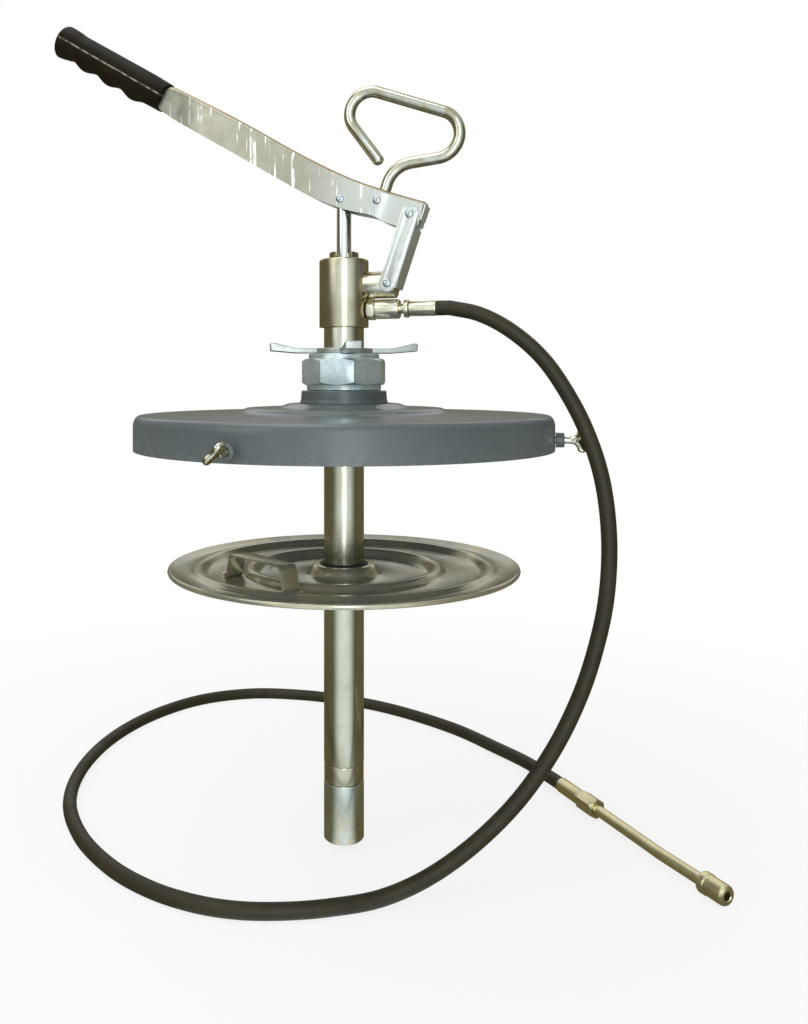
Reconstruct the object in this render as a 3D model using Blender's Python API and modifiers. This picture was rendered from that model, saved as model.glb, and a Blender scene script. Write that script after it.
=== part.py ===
"""Hand lever pump for gear oil, with its pail lid, follower plate, hose and nozzle.

Units are metres and +Z is up. The origin lies on the pump's axis, in the plane where the
lid's gasket rests on the rim of a pail. The lever swings in the XZ plane, with its grip
towards -X and the oil outlet towards +X.
"""
import math

import bmesh
import bpy
from mathutils import Euler, Matrix, Vector

CLEAR = 0.0003              # gap between two pieces that touch or slide
TURN = 2 * math.pi
WIDE_STEPS = 36             # sides of the lid's and the follower plate's circles
REACH_THROUGH = 0.010       # how far a cutter stands out of what it cuts
STEPS = 24                  # sides of a circle on the pump
NOZZLE_STEPS = 36           # sides of a circle on the nozzle's end
SMALL_STEPS = 14            # sides of a pin, a hole or another small circle

# Lid, pressed from sheet, with a gasket under its rim
LID_R = 0.170
LID_SHEET = 0.0015
LID_SKIRT = 0.0235          # how far the skirt hangs below the seat
LID_CORNER = 0.005
GASKET_T = 0.0020
GASKET_WIDE = 0.013
RIB_R = 0.0835              # pressed step around the middle
RIB_RISE = 0.0034
HUB_R = 0.047               # raised seat of the neck
HUB_RISE = 0.0038
LID_CONE = 0.0020           # rise of the outer panel towards the middle
STEP_WIDE = 0.0075          # radial length of each pressed step
NECK_R = 0.035
NECK_FLARE = 0.0013
NECK_TALL = 0.010
NECK_BORE = 0.0273

# Clamping screws in the skirt
SCREW_ANGLES = (-1.728, 0.087, 2.320)   # around the lid, from +X towards +Y
SCREW_Z = -0.0152
BOSS_R = 0.0058
BOSS_LONG = 0.0068
SCREW_R = 0.0028
SCREW_REACH = 0.0135        # from the skirt to the wing's near end
PAD_R = 0.0050
PAD_T = 0.0030
PAD_INSET = 0.0055          # pad's outer face inside the skirt's outer surface
WING_HUB_R = 0.0036
WING_HUB_LONG = 0.0050      # round part of the wing next to the stud
WING_LONG = 0.0115
WING_SPAN = 0.0186
WING_LOBE_R = 0.0041        # rounding of each lobe
WING_NOTCH = 0.0015         # dip between the lobes at the outer end
WING_T = 0.0030
WING_TURNS = (-0.65, -0.30, 0.20)

# Clamp adapter, seal and star nut on the lid's neck
STEM_R = 0.0270
FLANGE_R = 0.0306
FLANGE_T = 0.0044
OCT_R = 0.0352              # across the corners, halved
OCT_TALL = 0.0212
OCT_CHAMFER = 0.0030
OCT_TURN = 0.5150            # direction of one corner
COLLAR_R = 0.0290
COLLAR_TALL = 0.0041
COUNTERBORE_R = 0.0222
COUNTERBORE_DEEP = 0.0205
SEAL_TALL = 0.0050
RING_TALL = 0.0022
STAR_HUB_R = 0.0240
STAR_T = 0.0045
STAR_REACH = 0.0606
STAR_ARM_WIDE = 0.0130
STAR_TIP_RISE = 0.0055
STAR_TURN = 0.4190
STAR_ARMS = 4

# Pump tube, head and gland
TUBE_R = 0.0165
TUBE_WALL = 0.0020
FOOT_END = -0.3445
FOOT_TALL = 0.0475
FOOT_SHOULDER = 0.0120      # height of the ledge that the valve seat stands on
FOOT_LEDGE = 0.0030         # width of that ledge
BAND_TALL = 0.0150
BAND_INSET = 0.0002         # the band's outer face inside the tube's
EDGE_CUT = 0.0007           # chamfer on the edges of small turned pieces
HEAD_BASE = 0.0752
HEAD_R = 0.0203
HEAD_TALL = 0.0559
HEAD_ROUND = 0.0022
SOCKET_DEEP = 0.0062
PACKING_DEEP = 0.0145
GLAND_R = 0.0120
GLAND_STAND = 0.0058
GLAND_SLOT = 0.0122
PACKING_TALL = 0.0055
ROD_R = 0.0060

# Valves and piston at the lower end of the tube
SEAT_TALL = 0.0080
SEAT_BORE = 0.0055
SEAT_MOUTH = 0.86           # radius of the seat's mouth as a share of the ball's
BALL_R = 0.0080
CAGE_TALL = 0.0185
CAGE_ROOF = 0.0020
CAGE_MOUTH_R = 0.0050
PISTON_BASE = -0.2620
PISTON_TALL = 0.0260
PISTON_LAND = 0.0024
PISTON_HUB_R = 0.0100
PISTON_SEAT = 0.0060        # height of the ball's seat above the piston's base
PISTON_PORT_R = 0.0032
PISTON_SIDE_PORT_R = 0.0022
PISTON_GRIP = 0.0070        # length of rod held in the piston
PISTON_BALL_R = 0.0045
CUP_TALL = 0.0040
CUP_DEEP = 0.0030
ROD_OVER_PIN = 0.0080       # rod above its pin

# Lever linkage, all in the XZ plane
ROD_PIN = (0.0, 0.1793)
LINK_TOP = (0.0577, 0.1641)
LINK_FOOT = (0.0394, 0.1094)
LOOP_RIVET = (0.0310, 0.1765)
PIN_R = 0.0025
PIN_HEAD_R = 0.0033
PIN_HEAD_T = 0.0011
LEVER_WIDE = 0.0240
LEVER_END_WIDE = 0.0200
LEVER_DEEP = 0.0126         # half depth of the lever beside the grip
LEVER_SHEET = 0.0020
LEVER_CORNER = 0.0040
LINK_SHEET = 0.0020
LINK_NEAR = 0.0066          # open edge of the link's cheeks, from its centre line
LINK_FAR = 0.0086           # outer face of the link's web, from its centre line
LINK_WEB_DROP = 0.0015      # lower end of the web, below the foot pin
LINK_WEB_SHORT = 0.0095     # upper end of the web, below the top pin
PIVOT_PLAY = 0.0024         # slack of the link's top pin in the lever
BRACKET_R = 0.0110
BRACKET_END = 0.0445

# Grip on the lever's end
GRIP_START = (-0.1622, 0.2782)
GRIP_LONG = 0.1220
GRIP_TILT = 0.5440          # below the horizontal, towards the pump
GRIP_R = 0.0135
GRIP_RIDGE = 0.0032
GRIP_RIDGES = 3
RIDGE_PITCH = 0.0280
CORE_HALF = 0.0080
GRIP_CAP = 0.0040

# Carrying loop, a bent bar: straight run, bend angle, bend radius
BAR_R = 0.0048
BAR_START = (0.0300, 0.1710)
BAR_HEADING = 1.256
BAR_BENDS = (
    (0.0216, -1.153, 0.0230),
    (0.0230, 2.684, 0.0190),
    (0.0586, 2.562, 0.0177),
    (0.0388, 0.0, 0.0),
)

# Outlet, hose and nozzle
OUTLET_Z = 0.0896
PORT_R = 0.0045
FITTING_BORE = 0.0020
OUTLET_HEX = 0.0154         # across flats
OUTLET_HEX_LONG = 0.0066
OUTLET_HEX_TURN = 0.75
SWIVEL_R = 0.0080
SWIVEL_LONG = 0.0198
TAIL_R = 0.0040
TAIL_LONG = 0.0036
TAIL_COLLAR_R = 0.0073
TAIL_COLLAR_LONG = 0.0040
FERRULE_R = 0.0062
FERRULE_LONG = 0.0222
FERRULE_WALL = 0.0027
HOSE_R = 0.0060
HOSE_STEP = 0.0320          # distance between two points of the modelled hose
HOSE_STRAIGHT = 0.0100
FLOOR_Z = -0.3526           # plane that the hose and the nozzle lie on
NOZZLE_START = (0.1648, 0.1522)
NOZZLE_HEADING = -0.9030
NOZZLE_Z = FLOOR_Z + 0.0083
END_FERRULE_R = 0.0066
END_FERRULE_LONG = 0.0290
END_COLLAR_R = 0.0072
END_COLLAR_LONG = 0.0036
END_HEX = 0.0152
END_HEX_LONG = 0.0205
END_HEX_TURN = TURN / 12
PIPE_R = 0.0046
PIPE_BORE = 0.0026
PIPE_LONG = 0.1259
PIPE_STRAIGHT = 0.0780      # from the nut to the pipe's slight bend
PIPE_BEND = 0.060
PIPE_BEND_R = 0.150
COUPLER_R = 0.0077
COUPLER_RING_R = 0.0082
COUPLER_RING_LONG = 0.0060
COUPLER_LONG = 0.0235
COUPLER_GRIP = 0.0080       # length of pipe held in the coupler
COUPLER_MOUTH_R = 0.0032
COUPLER_MOUTH_DEEP = 0.0120

HOSE_ROUTE = (
    (0.112, -0.001, 0.084), (0.136, -0.001, 0.071),
    (0.159, -0.001, 0.051), (0.177, -0.002, 0.026), (0.1935, -0.003, -0.006),
    (0.2055, -0.0035, -0.044), (0.2105, -0.004, -0.088), (0.2085, -0.0055, -0.132),
    (0.2005, -0.0085, -0.1715), (0.1885, -0.0125, -0.2085), (0.1705, -0.0195, -0.246),
    (0.146, -0.030, -0.282), (0.116, -0.044, -0.312), (0.084, -0.060, -0.334),
    (0.052, -0.078, -0.3455), (0.020, -0.098, -0.3466), (-0.010, -0.112, -0.3466),
    (-0.043, -0.121, -0.3466), (-0.078, -0.122, -0.3466), (-0.118, -0.114, -0.3466),
    (-0.163, -0.094, -0.3466), (-0.212, -0.058, -0.3466), (-0.256, -0.006, -0.3466),
    (-0.285, 0.060, -0.3466), (-0.297, 0.134, -0.3466), (-0.289, 0.206, -0.3466),
    (-0.260, 0.268, -0.3466), (-0.212, 0.306, -0.3466), (-0.157, 0.319, -0.3466),
    (-0.104, 0.319, -0.3466), (-0.050, 0.309, -0.3466), (0.001, 0.289, -0.3466),
    (0.050, 0.262, -0.3466), (0.094, 0.227, -0.3464), (0.129, 0.196, -0.3456),
)

# Follower plate that slides on the tube below the lid
FOLLOWER_Z = -0.1185        # top of the plate's rolled rim
FOLLOWER_R = 0.1432
FOLLOWER_SHEET = 0.0010
FOLLOWER_HEM = 0.0022
FOLLOWER_FLOOR = 0.0092     # depth of the inner disc below the rim
INNER_RIB_R = 0.0765
OUTER_RIB_R = 0.1185
RIB_CREST = 0.0040
RIB_SIDE = 0.0055
PANEL_DROP = 0.0062         # panel between the ribs, below the rim
EDGE_DROP = 0.0027          # narrow panel outside the outer rib
COLLAR_IN_R = 0.0200
COLLAR_TOP_R = 0.0245
COLLAR_FOOT_R = 0.0315
WIPER_LIP = 0.0025
STRAP_ANGLE = -2.131        # direction of the strap handle's middle
STRAP_CHORD = 0.0835        # distance of the strap from the axis
STRAP_HALF = 0.0415         # from the middle to where a leg meets its foot
STRAP_WIDE = 0.0160
STRAP_SHEET = 0.0012
STRAP_RISE = 0.0195
STRAP_FOOT = 0.0110
STRAP_BEND = 0.0050
STRAP_LEAN = 1.35           # slope of a leg
STRAP_LEG_RUN = 0.0124      # from a leg's foot to where its top bend ends
STRAP_RIVET_R = 0.0022

# Heights that follow from the sizes above
LID_PANEL_Z = GASKET_T + CLEAR + LID_SHEET
RIB_TOP_Z = LID_PANEL_Z + LID_CONE + RIB_RISE
HUB_TOP_Z = RIB_TOP_Z + HUB_RISE
NECK_TOP_Z = HUB_TOP_Z + CLEAR + NECK_TALL
FLANGE_Z = NECK_TOP_Z + CLEAR
OCT_Z = FLANGE_Z + FLANGE_T
COLLAR_Z = OCT_Z + OCT_TALL
COLLAR_TOP_Z = COLLAR_Z + COLLAR_TALL
STAR_Z = COLLAR_TOP_Z + CLEAR
TUBE_BORE = TUBE_R - TUBE_WALL
FOOT_Z = FOOT_END + FOOT_TALL
BAND_Z = FOOT_Z + CLEAR + BAND_TALL
TUBE_END_Z = BAND_Z + CLEAR
HEAD_TOP_Z = HEAD_BASE + HEAD_TALL

FINISHES = {
    "grey_paint": ((0.13, 0.16, 0.17), 0.40, 0.0),
    "bright_zinc": ((0.62, 0.64, 0.63), 0.32, 0.9),
    "blue_zinc": ((0.50, 0.58, 0.60), 0.38, 0.9),
    "olive_zinc": ((0.36, 0.31, 0.17), 0.35, 0.85),
    "brushed_steel": ((0.48, 0.45, 0.38), 0.30, 0.95),
    "chrome": ((0.75, 0.76, 0.78), 0.10, 1.0),
    "brass": ((0.60, 0.45, 0.20), 0.30, 0.9),
    "black_rubber": ((0.020, 0.018, 0.015), 0.65, 0.0),
    "plastic": ((0.03, 0.028, 0.024), 0.50, 0.0),
}


def start_file():
    """Empty the scene and make the collections for the parts and for the cutters."""
    for thing in list(bpy.data.objects):
        bpy.data.objects.remove(thing, do_unlink=True)
    scene = bpy.context.scene
    groups = []
    for title in ("gear_oil_pump", "cutters"):
        group = bpy.data.collections.new(title)
        scene.collection.children.link(group)
        groups.append(group)
    return groups


PARTS, CUTTERS = start_file()


def finish(thing, kind):
    """Give a piece its own material."""
    colour, roughness, metallic = FINISHES[kind]
    mat = bpy.data.materials.new(thing.name + "_" + kind)
    mat.use_nodes = True
    shader = mat.node_tree.nodes["Principled BSDF"]
    shader.inputs["Base Color"].default_value = (*colour, 1.0)
    shader.inputs["Roughness"].default_value = roughness
    shader.inputs["Metallic"].default_value = metallic
    mat.diffuse_color = (*colour, 1.0)
    thing.data.materials.append(mat)


def add(name, data, place=(0, 0, 0), tilt=(0, 0, 0), kind=None):
    """Link a piece to the parts, or a piece with no finish to the cutters."""
    thing = bpy.data.objects.new(name, data)
    thing.matrix_world = Matrix.Translation(place) @ Euler(tilt).to_matrix().to_4x4()
    if kind is None:
        CUTTERS.objects.link(thing)
        thing.hide_render = True
        thing.display_type = "WIRE"
    else:
        PARTS.objects.link(thing)
        finish(thing, kind)
    return thing


def smooth(mesh):
    """Shade round faces smooth and keep the real edges sharp."""
    mesh.shade_smooth()
    mesh.set_sharp_from_angle(angle=math.radians(32))


def mesh_from(name, bm):
    mesh = bpy.data.meshes.new(name)
    bm.to_mesh(mesh)
    bm.free()
    smooth(mesh)
    return mesh


def profile_mesh(name, points, closed):
    """A chain of edges in the XZ plane, as (radius, height) points."""
    bm = bmesh.new()
    verts = [bm.verts.new((r, 0.0, z)) for r, z in points]
    for first, second in zip(verts, verts[1:]):
        bm.edges.new((first, second))
    if closed:
        bm.edges.new((verts[-1], verts[0]))
    mesh = bpy.data.meshes.new(name)
    bm.to_mesh(mesh)
    bm.free()
    return mesh


def turned(name, points, kind=None, closed=True, steps=STEPS, place=(0, 0, 0), tilt=(0, 0, 0)):
    """Turn a profile about its local Z axis. It runs down its outer side."""
    thing = add(name, profile_mesh(name, points, closed), place, tilt, kind)
    spin = thing.modifiers.new("turn", "SCREW")
    spin.steps = steps
    spin.render_steps = steps
    spin.use_merge_vertices = True
    spin.merge_threshold = 0.00001
    spin.use_smooth_shade = True
    return thing


def ring(name, inner, outer, low, high, kind=None, chamfer=0.0, **options):
    """A turned ring or sleeve, with its outer edges chamfered."""
    points = [(outer - chamfer, high), (outer, high - chamfer)] if chamfer else [(outer, high)]
    points += [(outer, low + chamfer), (outer - chamfer, low)] if chamfer else [(outer, low)]
    points += [(inner, low), (inner, high)]
    return turned(name, points, kind, **options)


def cylinder(name, radius, low, high, kind=None, sides=STEPS, place=(0, 0, 0), tilt=(0, 0, 0)):
    bm = bmesh.new()
    middle = Matrix.Translation((0, 0, (low + high) / 2))
    bmesh.ops.create_cone(bm, cap_ends=True, segments=sides, radius1=radius,
                          radius2=radius, depth=high - low, matrix=middle)
    return add(name, mesh_from(name, bm), place, tilt, kind)


def box(name, size, centre, tilt=(0, 0, 0)):
    """A box-shaped cutter."""
    bm = bmesh.new()
    bmesh.ops.create_cube(bm, size=1.0, matrix=Matrix.Diagonal((*size, 1.0)))
    return add(name, mesh_from(name, bm), centre, tilt)


def prism(name, across_flats, low, high, sides, turn, kind=None, place=(0, 0, 0), tilt=(0, 0, 0)):
    """A straight prism with a corner at the angle given."""
    corner = across_flats / 2 / math.cos(math.pi / sides)
    bm = bmesh.new()
    middle = Matrix.Translation((0, 0, (low + high) / 2))
    middle = middle @ Matrix.Rotation(turn - TURN / 4, 4, "Z")
    bmesh.ops.create_cone(bm, cap_ends=True, segments=sides, radius1=corner,
                          radius2=corner, depth=high - low, matrix=middle)
    return add(name, mesh_from(name, bm), place, tilt, kind)


def round_edges(thing, width, segments=1):
    bevel = thing.modifiers.new("edges", "BEVEL")
    bevel.width = width
    bevel.segments = segments
    bevel.limit_method = "ANGLE"
    bevel.angle_limit = math.radians(40)


def boolean(thing, tool, operation):
    step = thing.modifiers.new(operation.lower(), "BOOLEAN")
    step.operation = operation
    step.solver = "EXACT"
    step.object = tool
    return thing


def cut(thing, *tools):
    for tool in tools:
        boolean(thing, tool, "DIFFERENCE")
    return thing


def fuse(thing, *tools):
    for tool in tools:
        boolean(thing, tool, "UNION")
    return thing


def as_mesh(thing, kind=None):
    """Replace a curve by its mesh, with the caps welded on."""
    bpy.context.view_layer.update()
    graph = bpy.context.evaluated_depsgraph_get()
    mesh = bpy.data.meshes.new_from_object(thing.evaluated_get(graph))
    bm = bmesh.new()
    bm.from_mesh(mesh)
    bmesh.ops.remove_doubles(bm, verts=bm.verts, dist=0.000005)
    bmesh.ops.recalc_face_normals(bm, faces=bm.faces)
    bm.to_mesh(mesh)
    bm.free()
    mesh.materials.clear()
    smooth(mesh)
    name = thing.name
    place = thing.matrix_world.copy()
    bpy.data.objects.remove(thing, do_unlink=True)
    solid = add(name, mesh, kind=kind)
    solid.matrix_world = place
    return solid


def plate(name, outline, thickness, place=(0, 0, 0), tilt=(math.pi / 2, 0, 0), kind=None):
    """A flat outline, by default standing in the XZ plane with its thickness along Y."""
    curve = bpy.data.curves.new(name, "CURVE")
    curve.dimensions = "2D"
    curve.fill_mode = "BOTH"
    curve.extrude = thickness / 2
    line = curve.splines.new("POLY")
    line.points.add(len(outline) - 1)
    for point, (x, y) in zip(line.points, outline):
        point.co = (x, y, 0.0, 1.0)
    line.use_cyclic_u = True
    return as_mesh(add(name, curve, place, tilt), kind)


def rod_along(name, points, radius, kind=None, resolution=2):
    """A round bar or tube along a chain of points."""
    curve = bpy.data.curves.new(name, "CURVE")
    curve.dimensions = "3D"
    curve.bevel_depth = radius
    curve.bevel_resolution = resolution
    curve.use_fill_caps = True
    line = curve.splines.new("POLY")
    line.points.add(len(points) - 1)
    for point, co in zip(line.points, points):
        point.co = (*co, 1.0)
    return add(name, curve, kind=kind)


def arc(centre, radius, start, end, count):
    """Points on an arc, both ends included."""
    angles = [start + (end - start) * i / count for i in range(count + 1)]
    return [(centre[0] + radius * math.cos(a), centre[1] + radius * math.sin(a)) for a in angles]


def pressed_step(start, end, count=1):
    """Points of the soft S that a press leaves between two levels."""
    points = []
    for i in range(count + 1):
        t = i / count
        ease = (1 - math.cos(math.pi * t)) / 2
        points.append((start[0] + (end[0] - start[0]) * t, start[1] + (end[1] - start[1]) * ease))
    return points


def shell(name, points, thickness, kind, steps):
    """A turned sheet: the points are its upper or outer surface, from the middle outwards."""
    thing = turned(name, points, kind, closed=False, steps=steps)
    sheet = thing.modifiers.new("sheet", "SOLIDIFY")
    sheet.thickness = thickness
    sheet.offset = -1.0
    sheet.use_even_offset = True
    return thing


def empty(name, place, tilt=(0, 0, 0)):
    thing = bpy.data.objects.new(name, None)
    thing.empty_display_size = 0.01
    thing.matrix_world = Matrix.Translation(place) @ Euler(tilt).to_matrix().to_4x4()
    PARTS.objects.link(thing)
    return thing


def carry(pivot, *pieces):
    """Hang pieces on the empty that marks their joint, where they already are."""
    bpy.context.view_layer.update()
    for piece in pieces:
        piece.parent = pivot
        piece.matrix_parent_inverse = pivot.matrix_world.inverted()


ALONG_X = (0, math.pi / 2, 0)
ALONG_Y = (-math.pi / 2, 0, 0)


def cross_pin(name, at, half_length, kind="bright_zinc"):
    """A riveted pin across the lever's plane, with a low head at each end."""
    end = half_length + PIN_HEAD_T
    points = [(0, end), (PIN_HEAD_R * 0.7, end), (PIN_HEAD_R, half_length + PIN_HEAD_T * 0.35),
              (PIN_HEAD_R, half_length + CLEAR), (PIN_R, half_length + CLEAR)]
    points += [(r, -z) for r, z in reversed(points)]
    return turned(name, points, kind, closed=False, steps=SMALL_STEPS, place=(at[0], 0, at[1]),
                  tilt=ALONG_Y)


def hole_along_y(name, at, radius, half_length=0.03):
    return cylinder(name, radius, -half_length, half_length, sides=SMALL_STEPS,
                    place=(at[0], 0, at[1]), tilt=ALONG_Y)


# ---------------------------------------------------------------- lid

def screw_frame(angle):
    """Place and tilt of a local frame whose +Z points outwards through the skirt."""
    return (0, 0, SCREW_Z), (0, math.pi / 2, angle)


def build_lid():
    shoulder = LID_R - LID_CORNER
    inner = LID_PANEL_Z + LID_CONE
    points = [(NECK_BORE + 0.0012, HUB_TOP_Z)]
    points += pressed_step((HUB_R - STEP_WIDE / 2, HUB_TOP_Z), (HUB_R + STEP_WIDE / 2, RIB_TOP_Z))
    points += pressed_step((RIB_R - STEP_WIDE / 2, RIB_TOP_Z), (RIB_R + STEP_WIDE / 2, inner))
    corner_z = LID_PANEL_Z - LID_CORNER
    points += arc((shoulder, corner_z), LID_CORNER, math.pi / 2, 0, 3)
    seam_z = corner_z - CLEAR
    points += [(LID_R, seam_z)]
    shell("lid_cover", points, LID_SHEET, "grey_paint", steps=WIDE_STEPS)
    skirt = ring("lid_skirt", LID_R - LID_SHEET, LID_R, -LID_SKIRT, seam_z - CLEAR,
                 "grey_paint", steps=WIDE_STEPS)
    for number, angle in enumerate(SCREW_ANGLES, 1):
        place, tilt = screw_frame(angle)
        hole = cylinder(f"skirt_hole_{number}", SCREW_R + CLEAR, LID_R - REACH_THROUGH,
                        LID_R + REACH_THROUGH, sides=SMALL_STEPS, place=place, tilt=tilt)
        cut(skirt, hole)

    base = HUB_TOP_Z + CLEAR
    turned("neck_socket", [
        (NECK_R - 0.0008, NECK_TOP_Z), (NECK_R, NECK_TOP_Z - 0.0008),
        (NECK_R + NECK_FLARE * 0.4, base + 0.003), (NECK_R + NECK_FLARE, base),
        (NECK_BORE, base), (NECK_BORE, NECK_TOP_Z)], "grey_paint")
    seat_r = LID_R - LID_CORNER - CLEAR
    ring("rim_gasket", seat_r - GASKET_WIDE, seat_r, 0.0, GASKET_T, "black_rubber",
         steps=WIDE_STEPS)

    for number, angle in enumerate(SCREW_ANGLES, 1):
        place, tilt = screw_frame(angle)
        start = LID_R + CLEAR
        end = start + BOSS_LONG
        turned(f"screw_boss_{number}", [
            (BOSS_R - 0.0018, end), (BOSS_R - 0.0005, end - 0.0006), (BOSS_R, end - 0.0020),
            (BOSS_R, start), (SCREW_R + CLEAR, start), (SCREW_R + CLEAR, end)],
            "grey_paint", steps=SMALL_STEPS, place=place, tilt=tilt)


def build_thumb_screws():
    for number, (angle, turn) in enumerate(zip(SCREW_ANGLES, WING_TURNS), 1):
        place, tilt = screw_frame(angle)
        pad_out = LID_R - PAD_INSET
        tip_in = pad_out - PAD_T * 0.6
        hole = SCREW_R * 0.6 + CLEAR
        pad = turned(f"thumb_pad_{number}", [
            (0, tip_in - CLEAR), (hole, tip_in - CLEAR), (hole, pad_out), (PAD_R, pad_out),
            (PAD_R, pad_out - PAD_T), (0, pad_out - PAD_T)],
            "bright_zinc", closed=False, steps=SMALL_STEPS, place=place, tilt=tilt)

        wing_in = LID_R + SCREW_REACH
        wing_out = wing_in + WING_LONG
        hub_out = wing_in + WING_HUB_LONG
        neck = pad_out + CLEAR
        screw = turned(f"thumb_screw_{number}", [
            (0, hub_out), (WING_HUB_R * 0.6, hub_out), (WING_HUB_R, hub_out - 0.0015),
            (WING_HUB_R, wing_in), (SCREW_R, wing_in), (SCREW_R, neck),
            (SCREW_R * 0.6, neck), (SCREW_R * 0.6, tip_in), (0, tip_in)],
            "bright_zinc", closed=False, steps=SMALL_STEPS, place=place, tilt=tilt)
        lobe_x = WING_SPAN / 2 - WING_LOBE_R
        lobe_y = wing_out - WING_LOBE_R
        right = arc((lobe_x, lobe_y), WING_LOBE_R, -0.9, 2.0, 6)
        left = [(-x, y) for x, y in reversed(right)]
        outline = [(WING_HUB_R - 0.0006, wing_in), *right, (0, wing_out - WING_NOTCH), *left,
                   (0.0006 - WING_HUB_R, wing_in)]
        spin = Matrix.Rotation(angle, 4, "Z") @ Matrix.Rotation(math.pi / 2, 4, "Y")
        spin = Matrix.Translation(place) @ spin @ Matrix.Rotation(turn, 4, "Z")
        wing = plate(f"wing_{number}", outline, WING_T)
        wing.matrix_world = spin @ wing.matrix_world
        fuse(screw, wing)
        pivot = empty(f"thumb_screw_axis_{number}", place, tilt)
        carry(pivot, pad, screw)


# ---------------------------------------------------------------- clamp on the neck

def build_clamp():
    barrel = turned("adapter_barrel", [
        (0, COLLAR_Z), (OCT_R - OCT_CHAMFER, COLLAR_Z), (OCT_R, COLLAR_Z - OCT_CHAMFER * 0.55),
        (OCT_R, OCT_Z + OCT_CHAMFER * 0.55), (OCT_R - OCT_CHAMFER, OCT_Z), (0, OCT_Z)],
        closed=False)
    flats = 2 * OCT_R * math.cos(math.pi / 8)
    octagon = prism("adapter_octagon", flats, OCT_Z - 0.001, COLLAR_Z + 0.001, 8, OCT_TURN)
    boolean(octagon, barrel, "INTERSECT")
    body = turned("octagon_adapter", [
        (0, COLLAR_TOP_Z), (COLLAR_R - 0.0006, COLLAR_TOP_Z), (COLLAR_R, COLLAR_TOP_Z - 0.0006),
        (COLLAR_R, COLLAR_Z - 0.002), (COLLAR_R, OCT_Z + 0.002),
        (FLANGE_R, OCT_Z + 0.002), (FLANGE_R, FLANGE_Z), (STEM_R, FLANGE_Z),
        (STEM_R, LID_PANEL_Z - 0.002), (0, LID_PANEL_Z - 0.002)],
        "blue_zinc", closed=False)
    floor = COLLAR_TOP_Z - COUNTERBORE_DEEP
    bore = turned("adapter_bore", [
        (0, COLLAR_TOP_Z + 0.01), (COUNTERBORE_R, COLLAR_TOP_Z + 0.01), (COUNTERBORE_R, floor),
        (TUBE_R + CLEAR, floor), (TUBE_R + CLEAR, -0.01), (0, -0.01)], closed=False)
    fuse(body, octagon)
    cut(body, bore)

    seal_z = floor + CLEAR
    inside = TUBE_R + CLEAR
    outside = COUNTERBORE_R - CLEAR
    ring("clamp_seal", inside, outside, seal_z, seal_z + SEAL_TALL, "black_rubber", 0.0008)
    ring_z = seal_z + SEAL_TALL + CLEAR
    washer = ring("pressure_ring", inside, outside, ring_z, ring_z + RING_TALL, "brass")

    stem_z = ring_z + RING_TALL + CLEAR
    star = turned("star_nut", [
        (STAR_HUB_R - 0.0010, STAR_Z + STAR_T), (STAR_HUB_R, STAR_Z + STAR_T - 0.0010),
        (STAR_HUB_R, STAR_Z), (outside, STAR_Z), (outside, stem_z), (inside, stem_z),
        (inside, STAR_Z + STAR_T)], "blue_zinc")
    inner = TUBE_R + 0.0030
    bend = STAR_REACH * 0.66
    tip = STAR_Z + STAR_TIP_RISE * 0.5
    side_view = [
        (inner, STAR_Z + 0.0002), (bend, STAR_Z + 0.0002), (STAR_REACH, tip),
        (STAR_REACH + 0.0003, STAR_Z + STAR_T + STAR_TIP_RISE), (STAR_REACH - 0.003,
         STAR_Z + STAR_T + STAR_TIP_RISE), (bend, STAR_Z + STAR_T - 0.0002),
        (inner, STAR_Z + STAR_T - 0.0002)]
    for number in range(STAR_ARMS):
        arm = plate(f"star_arm_{number}", side_view, STAR_ARM_WIDE)
        round_edges(arm, 0.0016)
        arm.matrix_world = Matrix.Rotation(STAR_TURN + number * TURN / STAR_ARMS, 4, "Z") \
            @ arm.matrix_world
        fuse(star, arm)
    pivot = empty("star_nut_axis", (0, 0, STAR_Z))
    carry(pivot, washer, star)


# ---------------------------------------------------------------- pump

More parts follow.
